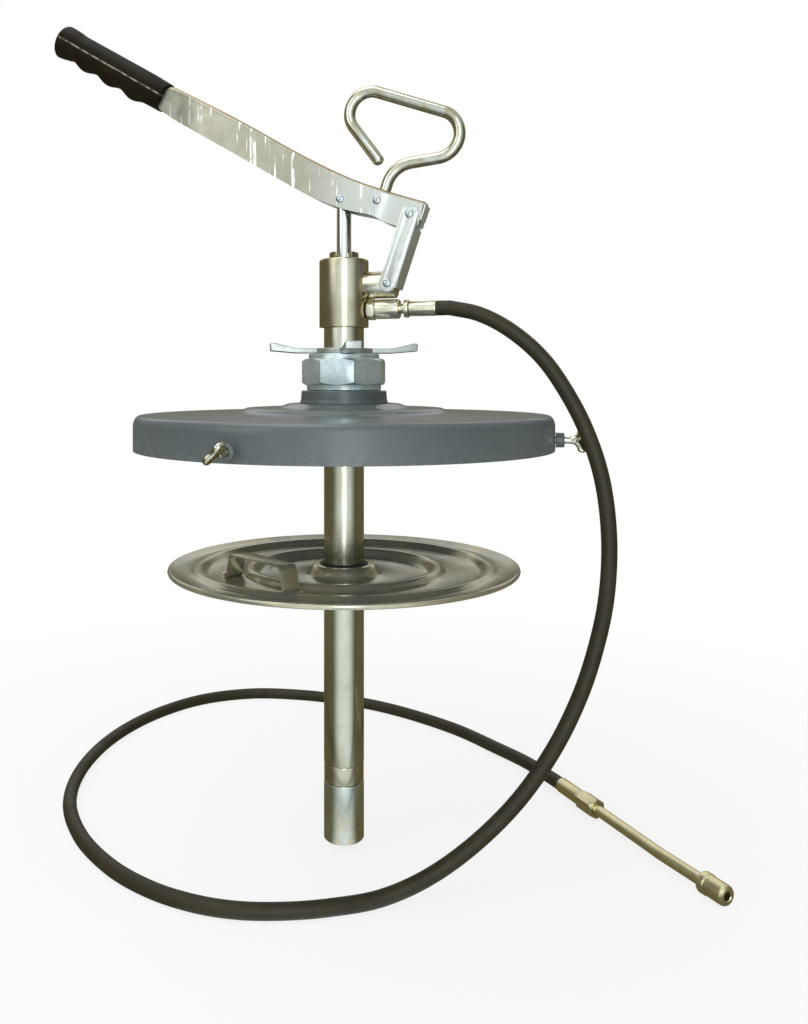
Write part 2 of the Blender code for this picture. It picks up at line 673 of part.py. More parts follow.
def build_pump():
    socket_top = HEAD_BASE + SOCKET_DEEP
    gland_base = HEAD_TOP_Z - PACKING_DEEP + PACKING_TALL + 2 * CLEAR
    packing_floor = HEAD_TOP_Z - PACKING_DEEP
    rod_hole = ROD_R + CLEAR
    neck_low = packing_floor - 0.004
    edge = arc((HEAD_R - HEAD_ROUND, HEAD_TOP_Z - HEAD_ROUND), HEAD_ROUND, math.pi / 2, 0, 3)
    head = turned("pump_head", edge + [
        (HEAD_R, HEAD_BASE + 0.0004), (HEAD_R - 0.0004, HEAD_BASE),
        (TUBE_R + CLEAR, HEAD_BASE), (TUBE_R + CLEAR, socket_top),
        (TUBE_BORE - 0.0005, socket_top), (TUBE_BORE - 0.0005, neck_low),
        (rod_hole, neck_low), (rod_hole, packing_floor),
        (GLAND_R + CLEAR, packing_floor), (GLAND_R + CLEAR, HEAD_TOP_Z)],
        "brushed_steel")
    cut(head, cylinder("outlet_port", PORT_R, 0.005, 0.030, sides=SMALL_STEPS,
                       place=(0, 0, OUTLET_Z), tilt=ALONG_X))
    ring("rod_packing", rod_hole, GLAND_R, packing_floor + CLEAR,
         packing_floor + CLEAR + PACKING_TALL, "black_rubber")
    gland_top = HEAD_TOP_Z + GLAND_STAND
    gland = ring("gland_nut", rod_hole, GLAND_R, gland_base, gland_top, "brushed_steel", 0.0005)
    slot = box("gland_slot", (GLAND_SLOT, 0.04, 0.02), (0, 0, HEAD_TOP_Z + 0.0002 + 0.01),
               tilt=(0, 0, 0.29))
    cut(gland, slot)

    ring("pump_tube", TUBE_BORE, TUBE_R, TUBE_END_Z, socket_top - CLEAR, "brushed_steel")
    ring("foot_band", TUBE_BORE, TUBE_R - BAND_INSET, FOOT_Z + CLEAR, BAND_Z, "brushed_steel",
         EDGE_CUT)
    seat_z = FOOT_END + FOOT_SHOULDER
    inlet = TUBE_BORE - FOOT_LEDGE
    turned("pump_foot", [
        (TUBE_R, FOOT_Z), (TUBE_R, FOOT_END + EDGE_CUT), (TUBE_R - EDGE_CUT, FOOT_END),
        (inlet, FOOT_END), (inlet, seat_z), (TUBE_BORE, seat_z),
        (TUBE_BORE, FOOT_Z)], "brushed_steel")


def build_foot_valve():
    """Seat, ball and cage in the foot: oil enters here on the up stroke."""
    fit = TUBE_BORE - CLEAR
    seat_z = FOOT_END + FOOT_SHOULDER + CLEAR
    seat_top = seat_z + SEAT_TALL
    mouth = BALL_R * SEAT_MOUTH
    turned("foot_valve_seat", [
        (fit, seat_top), (fit, seat_z), (SEAT_BORE, seat_z),
        (SEAT_BORE, seat_z + SEAT_TALL / 2), (mouth, seat_top)], "brass")
    ball_z = seat_top + math.sqrt((BALL_R + CLEAR) ** 2 - mouth ** 2)
    ball = ball_mesh("foot_valve_ball", BALL_R, (0, 0, ball_z), "chrome")

    cage_z = seat_top + CLEAR
    roof = cage_z + CAGE_TALL
    ceiling = roof - CAGE_ROOF
    guide = BALL_R + 2 * CLEAR
    cage = turned("foot_valve_cage", [
        (fit, roof), (fit, cage_z), (guide, cage_z), (guide, ceiling),
        (CAGE_MOUTH_R, ceiling), (CAGE_MOUTH_R, roof)], "brass", steps=SMALL_STEPS)
    tall = CAGE_TALL * 0.4
    for number in range(3):
        cut(cage, box(f"cage_window_{number}", (0.04, 0.006, tall),
                      (0, 0, ceiling - tall * 0.75), tilt=(0, 0, number * TURN / 6)))

    carry(empty("foot_ball_axis", (0, 0, ball_z)), ball)


def ball_mesh(name, radius, place, kind):
    bm = bmesh.new()
    bmesh.ops.create_uvsphere(bm, u_segments=SMALL_STEPS, v_segments=SMALL_STEPS // 2, radius=radius)
    return add(name, mesh_from(name, bm), place, kind=kind)


def build_piston():
    """Rod, piston, its two cup seals and the ball of the check valve inside it."""
    land = TUBE_BORE - CLEAR
    groove = land - CUP_DEEP
    body_top = PISTON_BASE + 3 * PISTON_LAND + 2 * CUP_TALL
    hub_top = PISTON_BASE + PISTON_TALL
    seat_z = PISTON_BASE + PISTON_SEAT
    rod_end = hub_top - PISTON_GRIP
    points = [(PISTON_HUB_R, hub_top), (PISTON_HUB_R, body_top)]
    level = body_top
    cups = []
    for _ in range(2):
        low = level - PISTON_LAND
        points += [(land, level), (land, low), (groove, low), (groove, low - CUP_TALL)]
        cups.append(low - CUP_TALL)
        level = low - CUP_TALL
    points += [(land, level), (land, PISTON_BASE), (PISTON_PORT_R, PISTON_BASE),
               (PISTON_PORT_R, seat_z), (PISTON_BALL_R + 0.0008, seat_z),
               (PISTON_BALL_R + 0.0008, rod_end - CLEAR), (ROD_R + CLEAR, rod_end - CLEAR),
               (ROD_R + CLEAR, hub_top)]
    piston = turned("piston", points, "brass", steps=SMALL_STEPS)
    for number in range(2):
        port = cylinder(f"piston_port_{number}", PISTON_SIDE_PORT_R, -0.02, 0.02,
                        sides=SMALL_STEPS,
                        place=(0, 0, rod_end - CLEAR - PISTON_SIDE_PORT_R * 1.15),
                        tilt=(math.pi / 2, 0, number * math.pi / 2))
        cut(piston, port)
    seals = [ring(f"cup_seal_{number}", groove + CLEAR, land, low + CLEAR,
                  low + CUP_TALL - CLEAR, "black_rubber")
             for number, low in enumerate(cups, 1)]
    ball_z = seat_z + math.sqrt((PISTON_BALL_R + CLEAR) ** 2 - PISTON_PORT_R ** 2)
    ball = ball_mesh("piston_ball", PISTON_BALL_R, (0, 0, ball_z), "chrome")

    rod = cylinder("piston_rod", ROD_R, rod_end, ROD_PIN[1] + ROD_OVER_PIN, "chrome",
                   sides=SMALL_STEPS)
    cut(rod, hole_along_y("rod_pin_hole", ROD_PIN, PIN_R + CLEAR))
    pin = cross_pin("lever_pin", ROD_PIN, LEVER_WIDE / 2)
    pivot = empty("piston_rod_axis", (0, 0, HEAD_TOP_Z))
    carry(pivot, rod, piston, pin, *seals)
    carry(empty("piston_ball_axis", (0, 0, ball_z)), ball)


# ---------------------------------------------------------------- lever linkage

def channel_section(top, bottom, half_wide, corner):
    """One open section of the lever, from the near wall's edge over the top to the far wall's."""
    top, bottom = Vector(top), Vector(bottom)
    down = (bottom - top).normalized()
    half = [(half_wide, (bottom - top).length)]
    half += [(half_wide - corner * (1 - math.cos(a)), corner * (1 - math.sin(a)))
             for a in (0, math.pi / 4, math.pi / 2)]
    section = [(-y, depth) for y, depth in half] + [(y, depth) for y, depth in reversed(half)]
    return [(top.x + down.x * depth, y, top.y + down.y * depth) for y, depth in section]


def loft(name, rows, closed, kind, ends=False):
    """Skin a row of matching sections with quads."""
    bm = bmesh.new()
    grid = [[bm.verts.new(co) for co in row] for row in rows]
    count = len(rows[0])
    for first, second in zip(grid, grid[1:]):
        for i in range(count if closed else count - 1):
            j = (i + 1) % count
            bm.faces.new((first[i], first[j], second[j], second[i]))
    if ends:
        bm.faces.new(grid[0][::-1])
        bm.faces.new(grid[-1])
    bmesh.ops.recalc_face_normals(bm, faces=bm.faces)
    return add(name, mesh_from(name, bm), kind=kind)


def grip_axis(distance, rise=0.0):
    """A point on the grip's axis, at a distance from its inner end, raised square to it."""
    along = (-math.cos(GRIP_TILT), math.sin(GRIP_TILT))
    up = (math.sin(GRIP_TILT), math.cos(GRIP_TILT))
    return (GRIP_START[0] + along[0] * distance + up[0] * rise,
            GRIP_START[1] + along[1] * distance + up[1] * rise)


def build_lever():
    wide, end_wide = LEVER_WIDE / 2, LEVER_END_WIDE / 2
    core_end = GRIP_LONG - GRIP_CAP - CLEAR
    pin_x, pin_z = LINK_TOP
    mouth = 0.0040
    # each station: top edge, bottom edge, half width
    stations = [
        (grip_axis(core_end, CORE_HALF), grip_axis(core_end, -CORE_HALF), CORE_HALF),
        (grip_axis(-CLEAR, CORE_HALF), grip_axis(-CLEAR, -CORE_HALF), CORE_HALF),
        (grip_axis(-mouth, wide - 0.0004), grip_axis(-mouth, 0.0008 - wide), wide - 0.0008),
        (grip_axis(-2 * wide, LEVER_DEEP), grip_axis(-2 * wide, -LEVER_DEEP), wide),
        ((-0.0900, 0.2519), (-0.1036, 0.2290), wide),
        ((-0.0388, 0.2209), (-0.0525, 0.1982), wide),
        ((-0.0057, 0.2028), (-0.0180, 0.1790), wide),
        ((0.0155, 0.1928), (0.0061, 0.1696), wide),
        ((0.0345, 0.1858), (0.0268, 0.1650), wide),
        ((0.0435, 0.1826), (0.0368, 0.1588), end_wide),
        ((pin_x + 0.0020, pin_z + 0.0130), (pin_x - 0.0040, pin_z - 0.0112), end_wide),
        ((pin_x + 0.0115, pin_z + 0.0100), (pin_x + 0.0068, pin_z - 0.0088), end_wide),
    ]
    rows = [channel_section(top, bottom, half, LEVER_CORNER) for top, bottom, half in stations]
    channel = loft("lever_channel", rows, False, "bright_zinc")
    sheet = channel.modifiers.new("sheet", "SOLIDIFY")
    sheet.thickness = LEVER_SHEET
    sheet.offset = -1.0
    sheet.use_even_offset = True
    top, bottom, half = stations[-1]
    lip_low = (bottom[0] + 0.0005, bottom[1] + 0.0040)
    lip_wide = half - LEVER_CORNER * 0.4
    lip = plate("lever_lip", [
        (top[0] - 0.0012, top[1] - 0.0006), (top[0] + 0.0016, top[1] - 0.0030),
        (lip_low[0] + 0.0016, lip_low[1]), (lip_low[0] - 0.0006, lip_low[1] - 0.0002),
        (top[0] - 0.0008, top[1] - 0.0040)], 2 * lip_wide)
    fuse(channel, lip)
    cut(channel,
        hole_along_y("lever_pin_hole", ROD_PIN, PIN_R + CLEAR),
        hole_along_y("loop_rivet_hole", LOOP_RIVET, PIN_R + CLEAR),
        hole_along_y("link_pin_slack", LINK_TOP, PIN_R + CLEAR + PIVOT_PLAY))
    tilt = math.pi / 2 - BAR_HEADING
    cut(channel, cylinder("loop_bar_hole", BAR_R + CLEAR, 0, 0.03, sides=SMALL_STEPS,
                          place=(BAR_START[0], 0, BAR_START[1]), tilt=(0, tilt, 0)))
    return channel


def bent_bar(start, heading, bends):
    """Centre line of a bar bent in the XZ plane: straight runs joined by arcs."""
    x, z = start
    points = [(x, z)]
    for straight, turn, radius in bends:
        x += straight * math.cos(heading)
        z += straight * math.sin(heading)
        points.append((x, z))
        if turn:
            side = math.copysign(math.pi / 2, turn)
            centre = (x + radius * math.cos(heading + side), z + radius * math.sin(heading + side))
            count = max(3, round(abs(turn) / 0.26))
            bend = arc(centre, radius, heading - side, heading - side + turn, count)
            points += bend[1:]
            x, z = bend[-1]
            heading += turn
    return [(x, 0.0, z) for x, z in points]


def build_loop():
    bar = rod_along("carry_loop", bent_bar(BAR_START, BAR_HEADING, BAR_BENDS), BAR_R)
    loop = as_mesh(bar, "bright_zinc")
    cut(loop, hole_along_y("loop_pin_hole", LOOP_RIVET, PIN_R + CLEAR))
    rivet = cross_pin("loop_rivet", LOOP_RIVET, LEVER_WIDE / 2)
    return loop, rivet


def build_grip():
    """A moulded grip with finger ridges below, closed at its outer end."""
    rows = []
    count = 24
    sides = 16
    for i in range(count + 1):
        s = GRIP_LONG * i / count
        body = GRIP_R - 0.0008 * max(0.0, 1 - s / 0.020)
        flare = max(0.0, (s - GRIP_LONG + 0.022) / 0.022)
        body += 0.0016 * math.sin(flare * math.pi * 0.75)
        cap = max(0.0, (s - GRIP_LONG + 0.004) / 0.004)
        body *= math.sqrt(max(0.0, 1 - 0.55 * cap ** 2))
        phase = (s - 0.018) / RIDGE_PITCH
        ridge = 0.0
        if 0 < phase < GRIP_RIDGES:
            ridge = GRIP_RIDGE * (1 - math.cos(TURN * phase)) / 2
        elif phase >= GRIP_RIDGES:
            ridge = GRIP_RIDGE * 0.9 * (1 - cap) * min(1.0, (phase - GRIP_RIDGES) * 1.6)
        row = []
        for k in range(sides):
            angle = TURN * k / sides
            below = max(0.0, -math.sin(angle))
            radius = body + ridge * below ** 1.5
            centre = grip_axis(s)
            up = (math.sin(GRIP_TILT), math.cos(GRIP_TILT))
            rise = radius * math.sin(angle)
            row.append((centre[0] + up[0] * rise, radius * 0.97 * math.cos(angle),
                        centre[1] + up[1] * rise))
        rows.append(row)
    grip = loft("grip", rows, True, "plastic", ends=True)
    gap = 2 * (CORE_HALF + CLEAR)
    long = GRIP_LONG - GRIP_CAP + 0.02
    middle = grip_axis(GRIP_LONG - GRIP_CAP - long / 2)
    bore = box("grip_bore", (long, gap, gap), (middle[0], 0, middle[1]),
               tilt=(0, GRIP_TILT, 0))
    cut(grip, bore)
    return grip


def build_link():
    """Channel-shaped link between the bracket on the head and the lever's end."""
    tall = math.dist(LINK_FOOT, LINK_TOP)
    lean = math.atan2(LINK_TOP[0] - LINK_FOOT[0], LINK_TOP[1] - LINK_FOOT[1])
    inner = LEVER_END_WIDE / 2 + CLEAR
    outer = inner + LINK_SHEET
    corner = 0.0035
    edge = [(-LINK_NEAR, -outer)]
    edge += arc((LINK_FAR - corner, -outer + corner), corner, -math.pi / 2, 0, 3)
    section = edge + [(x, -y) for x, y in reversed(edge)]
    low, high = -LINK_NEAR - 0.003, tall + LINK_NEAR + 0.005
    rows = [[(x, y, z) for x, y in section] for z in (low, high)]
    link = loft("link", rows, False, "bright_zinc")
    sheet = link.modifiers.new("sheet", "SOLIDIFY")
    sheet.thickness = LINK_SHEET
    sheet.offset = -1.0
    sheet.use_even_offset = True
    head = LINK_NEAR + 0.0015
    outline = arc((0, 0), LINK_NEAR, math.pi, math.pi * 1.5 + 0.9, 8)
    outline += [(LINK_FAR - LINK_SHEET - 0.0006, -LINK_WEB_DROP),
                (LINK_FAR + 0.001, -LINK_WEB_DROP), (LINK_FAR + 0.001, tall - 0.006)]
    outline += arc((0, tall), head, -0.30, math.pi, 9)
    place = (LINK_FOOT[0], 0, LINK_FOOT[1])
    limits = plate("link_outline", outline, 0.06)
    web_gap = box("link_web_gap", (0.008, 2 * inner - 0.0004, 0.03),
                  (LINK_FAR - 0.0015, 0, tall - LINK_WEB_SHORT + 0.015))
    pose = Matrix.Translation(place) @ Matrix.Rotation(lean, 4, "Y")
    for thing in (link, limits, web_gap):
        thing.matrix_world = pose @ thing.matrix_world
    boolean(link, limits, "INTERSECT")
    cut(link, web_gap, hole_along_y("link_foot_hole", LINK_FOOT, PIN_R + CLEAR))
    cut(link, hole_along_y("link_top_hole", LINK_TOP, PIN_R + CLEAR))
    top_pin = cross_pin("link_top_pin", LINK_TOP, outer)
    foot_pin = cross_pin("link_foot_pin", LINK_FOOT, outer)
    carry(empty("link_axis", place, ALONG_Y), link, top_pin)
    return foot_pin


def build_bracket():
    """Round stub on the head, flattened on both sides where the link's cheeks pass."""
    stub = cylinder("link_bracket", BRACKET_R, 0, BRACKET_END, "bright_zinc", sides=STEPS,
                    place=(0, 0, LINK_FOOT[1]), tilt=ALONG_X)
    flat = LEVER_END_WIDE / 2 - CLEAR
    tool = 0.01
    for side in (-1, 1):
        cut(stub, box(f"bracket_flat_{side + 1}", (0.1, tool, 0.05),
                      (0.05, side * (flat + tool / 2), LINK_FOOT[1])))
    cut(stub, cylinder("bracket_seat", HEAD_R + CLEAR, 0, 0.2, sides=STEPS),
        hole_along_y("bracket_hole", LINK_FOOT, PIN_R + CLEAR))


# ---------------------------------------------------------------- outlet, hose and nozzle

def build_outlet():
    """Nipple in the head, its union nut, and the tail and ferrule that hold the hose."""
    place = (0, 0, OUTLET_Z)
    hex_in = HEAD_R + CLEAR
    hex_out = hex_in + OUTLET_HEX_LONG
    nut_in = hex_out + CLEAR
    nut_out = nut_in + SWIVEL_LONG
    collar_in = nut_out + CLEAR + TAIL_LONG
    collar_out = collar_in + TAIL_COLLAR_LONG
    sleeve_in = collar_out + CLEAR
    hose_in = sleeve_in + FERRULE_LONG + CLEAR
    middle = (nut_in + nut_out) / 2
    inside = TAIL_R - 0.0005
    root = HEAD_R - 0.0060

    nipple = turned("outlet_nipple", [
        (inside, middle - CLEAR), (inside, hex_out - 0.001), (inside + 0.001, hex_out - 0.001),
        (inside + 0.001, hex_in + 0.001), (PORT_R - CLEAR, hex_in + 0.001),
        (PORT_R - CLEAR, root), (FITTING_BORE, root), (FITTING_BORE, middle - CLEAR)],
        "olive_zinc", steps=SMALL_STEPS, place=place, tilt=ALONG_X)
    hexagon = prism("outlet_hex", OUTLET_HEX, hex_in, hex_out, 6, OUTLET_HEX_TURN,
                    place=place, tilt=ALONG_X)
    cut(hexagon, cylinder("outlet_hex_bore", inside, -0.1, 0.1, sides=SMALL_STEPS, place=place,
                          tilt=ALONG_X))
    round_edges(hexagon, EDGE_CUT)
    fuse(nipple, hexagon)

    ring("outlet_swivel", TAIL_R - CLEAR * 0.6, SWIVEL_R, nut_in, nut_out, "olive_zinc", 0.0008,
         steps=SMALL_STEPS, place=place, tilt=ALONG_X)
    tail = TAIL_R - CLEAR * 2
    barb = FERRULE_R - FERRULE_WALL - CLEAR
    turned("hose_tail", [
        (barb, hose_in - 0.001), (barb, collar_out),
        (TAIL_COLLAR_R - EDGE_CUT, collar_out), (TAIL_COLLAR_R, collar_out - EDGE_CUT),
        (TAIL_COLLAR_R, collar_in + EDGE_CUT), (TAIL_COLLAR_R - EDGE_CUT, collar_in),
        (TAIL_R, collar_in), (TAIL_R, nut_out + CLEAR), (tail, nut_out + CLEAR),
        (tail, middle), (FITTING_BORE, middle), (FITTING_BORE, hose_in - 0.001)],
        "olive_zinc", steps=SMALL_STEPS, place=place, tilt=ALONG_X)
    ring("hose_ferrule", barb + CLEAR, FERRULE_R, sleeve_in, sleeve_in + FERRULE_LONG,
         "olive_zinc", EDGE_CUT, steps=SMALL_STEPS, place=place, tilt=ALONG_X)
    return hose_in


def smooth_route(route, step):
    """Evenly spaced points on a smooth curve through the route's points."""
    route = [Vector(point) for point in route]
    route = [2 * route[0] - route[1], *route, 2 * route[-1] - route[-2]]
    fine = []
    for before, start, end, after in zip(route, route[1:], route[2:], route[3:]):
        for i in range(12):
            t = i / 12
            fine.append(0.5 * (2 * start + (end - before) * t
                               + (2 * before - 5 * start + 4 * end - after) * t ** 2
                               + (3 * start - before - 3 * end + after) * t ** 3))
    fine.append(route[-2])
    lengths = [0.0]
    for first, second in zip(fine, fine[1:]):
        lengths.append(lengths[-1] + (second - first).length)
    count = round(lengths[-1] / step)
    points = []
    at = 0
    for i in range(count + 1):
        want = lengths[-1] * i / count
        while at < len(fine) - 2 and lengths[at + 1] < want:
            at += 1
        t = (want - lengths[at]) / (lengths[at + 1] - lengths[at])
        points.append(fine[at].lerp(fine[at + 1], min(t, 1.0)))
    return points


def build_hose(hose_in):
    """One smooth run, with a short straight stretch in front of each fitting."""
    start = Vector((hose_in, 0.0, OUTLET_Z))
    end = Vector((*NOZZLE_START, NOZZLE_Z))
    leave = start + Vector((HOSE_STRAIGHT, 0, 0))
    along = Vector((math.cos(NOZZLE_HEADING), math.sin(NOZZLE_HEADING), 0))
    arrive = end - along * HOSE_STRAIGHT
    points = [start, *smooth_route([leave, *HOSE_ROUTE, arrive], HOSE_STEP), end]
    rod_along("hose", points, HOSE_R, "black_rubber")


def build_nozzle():
    """Ferrule, nut, bent pipe and grease coupler, lying along their own axis on the floor."""
    place = (*NOZZLE_START, NOZZLE_Z)
    tilt = (0, math.pi / 2, NOZZLE_HEADING)
    sleeve_in = CLEAR
    collar_in = sleeve_in + END_FERRULE_LONG + CLEAR
    hex_in = collar_in + END_COLLAR_LONG
    hex_out = hex_in + END_HEX_LONG
    bore = PIPE_R + CLEAR
    ring("end_ferrule", PIPE_BORE, END_FERRULE_R, sleeve_in, sleeve_in + END_FERRULE_LONG,
         "olive_zinc", EDGE_CUT, steps=SMALL_STEPS, place=place, tilt=tilt)
    nut = turned("nozzle_nut", [
        (0, hex_in + 0.002), (END_COLLAR_R, hex_in + 0.002),
        (END_COLLAR_R, collar_in + EDGE_CUT), (END_COLLAR_R - EDGE_CUT, collar_in),
        (0, collar_in)],
        "olive_zinc", closed=False, steps=SMALL_STEPS, place=place, tilt=tilt)
    hexagon = prism("nozzle_hex", END_HEX, hex_in, hex_out, 6, END_HEX_TURN, place=place,
                    tilt=tilt)
    round_edges(hexagon, EDGE_CUT)
    drill = turned("nozzle_nut_bore", [
        (0, hex_out + 0.01), (bore, hex_out + 0.01), (bore, hex_in), (PIPE_BORE, hex_in),
        (PIPE_BORE, collar_in - 0.01), (0, collar_in - 0.01)],
        closed=False, steps=SMALL_STEPS, place=place, tilt=tilt)
    cut(fuse(nut, hexagon), drill)

    # the pipe starts inside the nut and ends inside the coupler
    ahead = Matrix.Translation(place) @ Matrix.Rotation(NOZZLE_HEADING, 4, "Z")
    seat = hex_in + CLEAR
    bend_at = hex_out + PIPE_STRAIGHT
    centre = (bend_at, PIPE_BEND_R)
    quarter = math.pi / 2
    line = [(seat, 0.0)] + arc(centre, PIPE_BEND_R, -quarter, -quarter + PIPE_BEND, 3)
    far = PIPE_LONG - PIPE_STRAIGHT - PIPE_BEND_R * PIPE_BEND
    unit = (math.cos(PIPE_BEND), math.sin(PIPE_BEND))
    mouth = (line[-1][0] + unit[0] * far, line[-1][1] + unit[1] * far)
    line.append((mouth[0] + unit[0] * COUPLER_GRIP, mouth[1] + unit[1] * COUPLER_GRIP))
    pipe = as_mesh(rod_along("nozzle_pipe", [(x, y, 0.0) for x, y in line], PIPE_R,
                             resolution=8), "olive_zinc")
    first, last = line[0], line[-1]
    line[0] = (first[0] - 0.01, first[1])
    line[-1] = (last[0] + unit[0] * 0.01, last[1] + unit[1] * 0.01)
    drill = as_mesh(rod_along("pipe_bore", [(x, y, 0.0) for x, y in line], PIPE_BORE,
                              resolution=2))
    for thing in (pipe, drill):
        thing.matrix_world = ahead @ thing.matrix_world
    cut(pipe, drill)

    tip = ahead @ Vector((*mouth, 0.0))
    tilt = (0, math.pi / 2, NOZZLE_HEADING + PIPE_BEND)
    socket = COUPLER_GRIP + CLEAR
    throat = COUPLER_LONG - COUPLER_MOUTH_DEEP
    turned("grease_coupler", [
        (COUPLER_R - 0.0022, COUPLER_LONG), (COUPLER_R - 0.0008, COUPLER_LONG - 0.0008),
        (COUPLER_R - 0.0002, COUPLER_LONG - 0.0018), (COUPLER_R, COUPLER_LONG - 0.0028),
        (COUPLER_R, COUPLER_RING_LONG + 0.0012), (COUPLER_RING_R - 0.0002, COUPLER_RING_LONG),
        (COUPLER_RING_R, COUPLER_RING_LONG - 0.0002), (COUPLER_RING_R, 0.0012),
        (COUPLER_RING_R - 0.0003, 0.0004), (COUPLER_RING_R - 0.0012, 0.0), (bore, 0.0),
        (bore, socket), (PIPE_BORE, socket), (PIPE_BORE, throat), (COUPLER_MOUTH_R, throat),
        (COUPLER_MOUTH_R, COUPLER_LONG - 0.0006), (COUPLER_MOUTH_R + 0.0006, COUPLER_LONG)],
        "olive_zinc", steps=NOZZLE_STEPS, place=tip, tilt=tilt)


# ---------------------------------------------------------------- follower plate

def build_follower():
    panel = -PANEL_DROP
    crest = -0.0013
    points = [(COLLAR_IN_R, -0.0005), (COLLAR_TOP_R, -0.0005)]
    points += pressed_step((COLLAR_TOP_R, -0.0005), (COLLAR_FOOT_R, -FOLLOWER_FLOOR))[1:]
    for middle, top, outside in ((INNER_RIB_R, crest, panel), (OUTER_RIB_R, 0.0, -EDGE_DROP)):
        inside = points[-1][1]
        flat = RIB_CREST / 2
        points += pressed_step((middle - flat - RIB_SIDE, inside), (middle - flat, top))
        points += pressed_step((middle + flat, top), (middle + flat + RIB_SIDE, outside))
    hem = FOLLOWER_R - FOLLOWER_HEM
    points.append((hem - 0.0025, -EDGE_DROP))
    points += arc((hem, -FOLLOWER_HEM), FOLLOWER_HEM, math.pi / 2, -math.pi / 3, 3)
    points = [(r, FOLLOWER_Z + z) for r, z in points]
    plate_solid = shell("follower_plate", points, FOLLOWER_SHEET, "olive_zinc", steps=WIDE_STEPS)

    low = FOLLOWER_Z - 0.0005 - FOLLOWER_SHEET
    edge = COLLAR_IN_R - CLEAR
    turned("follower_wiper", [
        (edge - 0.0010, FOLLOWER_Z + 0.0008), (edge, FOLLOWER_Z), (edge, low - CLEAR),
        (edge + WIPER_LIP, low - CLEAR), (edge + WIPER_LIP, low - 0.0030),
        (TUBE_R + CLEAR, low - 0.0055), (TUBE_R + CLEAR, FOLLOWER_Z + 0.0008)],
        "black_rubber")

    foot_z = FOLLOWER_Z + panel + CLEAR
    strap_pose = Matrix.Rotation(STRAP_ANGLE + math.pi / 2, 4, "Z") \
        @ Matrix.Translation((0, -STRAP_CHORD, foot_z))
    strap = plate("strap_handle", strap_outline(), STRAP_WIDE, kind="olive_zinc")
    strap.matrix_world = strap_pose @ strap.matrix_world
    for number, side in enumerate((-1, 1), 1):
        at = strap_pose @ Vector((side * (STRAP_HALF + STRAP_FOOT * 0.5), 0, 0))
        hole = cylinder(f"strap_hole_{number}", STRAP_RIVET_R + CLEAR, -REACH_THROUGH,
                        REACH_THROUGH, sides=SMALL_STEPS, place=at)
        cut(strap, hole)
        cut(plate_solid, hole)
        head = STRAP_SHEET + CLEAR
        under = -CLEAR * 2 - FOLLOWER_SHEET
        points = [(0, head + 0.0010), (STRAP_RIVET_R * 1.2, head + 0.0008),
                  (STRAP_RIVET_R * 1.8, head), (STRAP_RIVET_R, head), (STRAP_RIVET_R, under),
                  (STRAP_RIVET_R * 1.7, under), (STRAP_RIVET_R * 1.7, under - 0.0008),
                  (0, under - 0.0008)]
        turned(f"strap_rivet_{number}", points, "olive_zinc", closed=False, steps=SMALL_STEPS,
               place=at)


def strap_outline():
    """Side view of the bent strip: a foot, a curved leg, the top, and the same mirrored."""
    leg = STRAP_HALF - STRAP_LEG_RUN
    half = [(STRAP_HALF + STRAP_FOOT, 0.0)]
    half += arc((STRAP_HALF, STRAP_BEND), STRAP_BEND, -math.pi / 2, -math.pi / 2 - STRAP_LEAN, 4)
    half += arc((leg, STRAP_RISE - STRAP_BEND), STRAP_BEND, math.pi / 2 - STRAP_LEAN, math.pi / 2,
                4)
    line = half + [(-x, z) for x, z in reversed(half)]
    return thick_line(line, STRAP_SHEET)


def thick_line(line, thickness):
    """Outline of a strip whose lower side follows a line that runs towards -X."""
    upper = []
    for i, (x, z) in enumerate(line):
        before = line[max(i - 1, 0)]
        after = line[min(i + 1, len(line) - 1)]
        along = Vector((after[0] - before[0], after[1] - before[1])).normalized()
        upper.append((x + along.y * thickness, z - along.x * thickness))
    return line + upper[::-1]


build_lid()
build_thumb_screws()
build_clamp()
build_pump()
build_foot_valve()
build_piston()
build_lever()
build_loop()
build_grip()
build_link()
build_bracket()
build_hose(build_outlet())
build_nozzle()
build_follower()
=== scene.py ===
# %% [markdown]
# # Gear oil pump on a pail lid
# A hand pump stands in the middle of a round steel lid. Its lever, link and carrying loop
# are above, and its tube runs down through a follower plate to the bottom of a pail. A hose
# leaves the head, falls to the floor, goes round behind the pump and ends in a bent nozzle.
# The notebook builds what shows of it, piece by piece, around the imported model.

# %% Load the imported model
import math

import bmesh
import bpy
from mathutils import Matrix, Vector


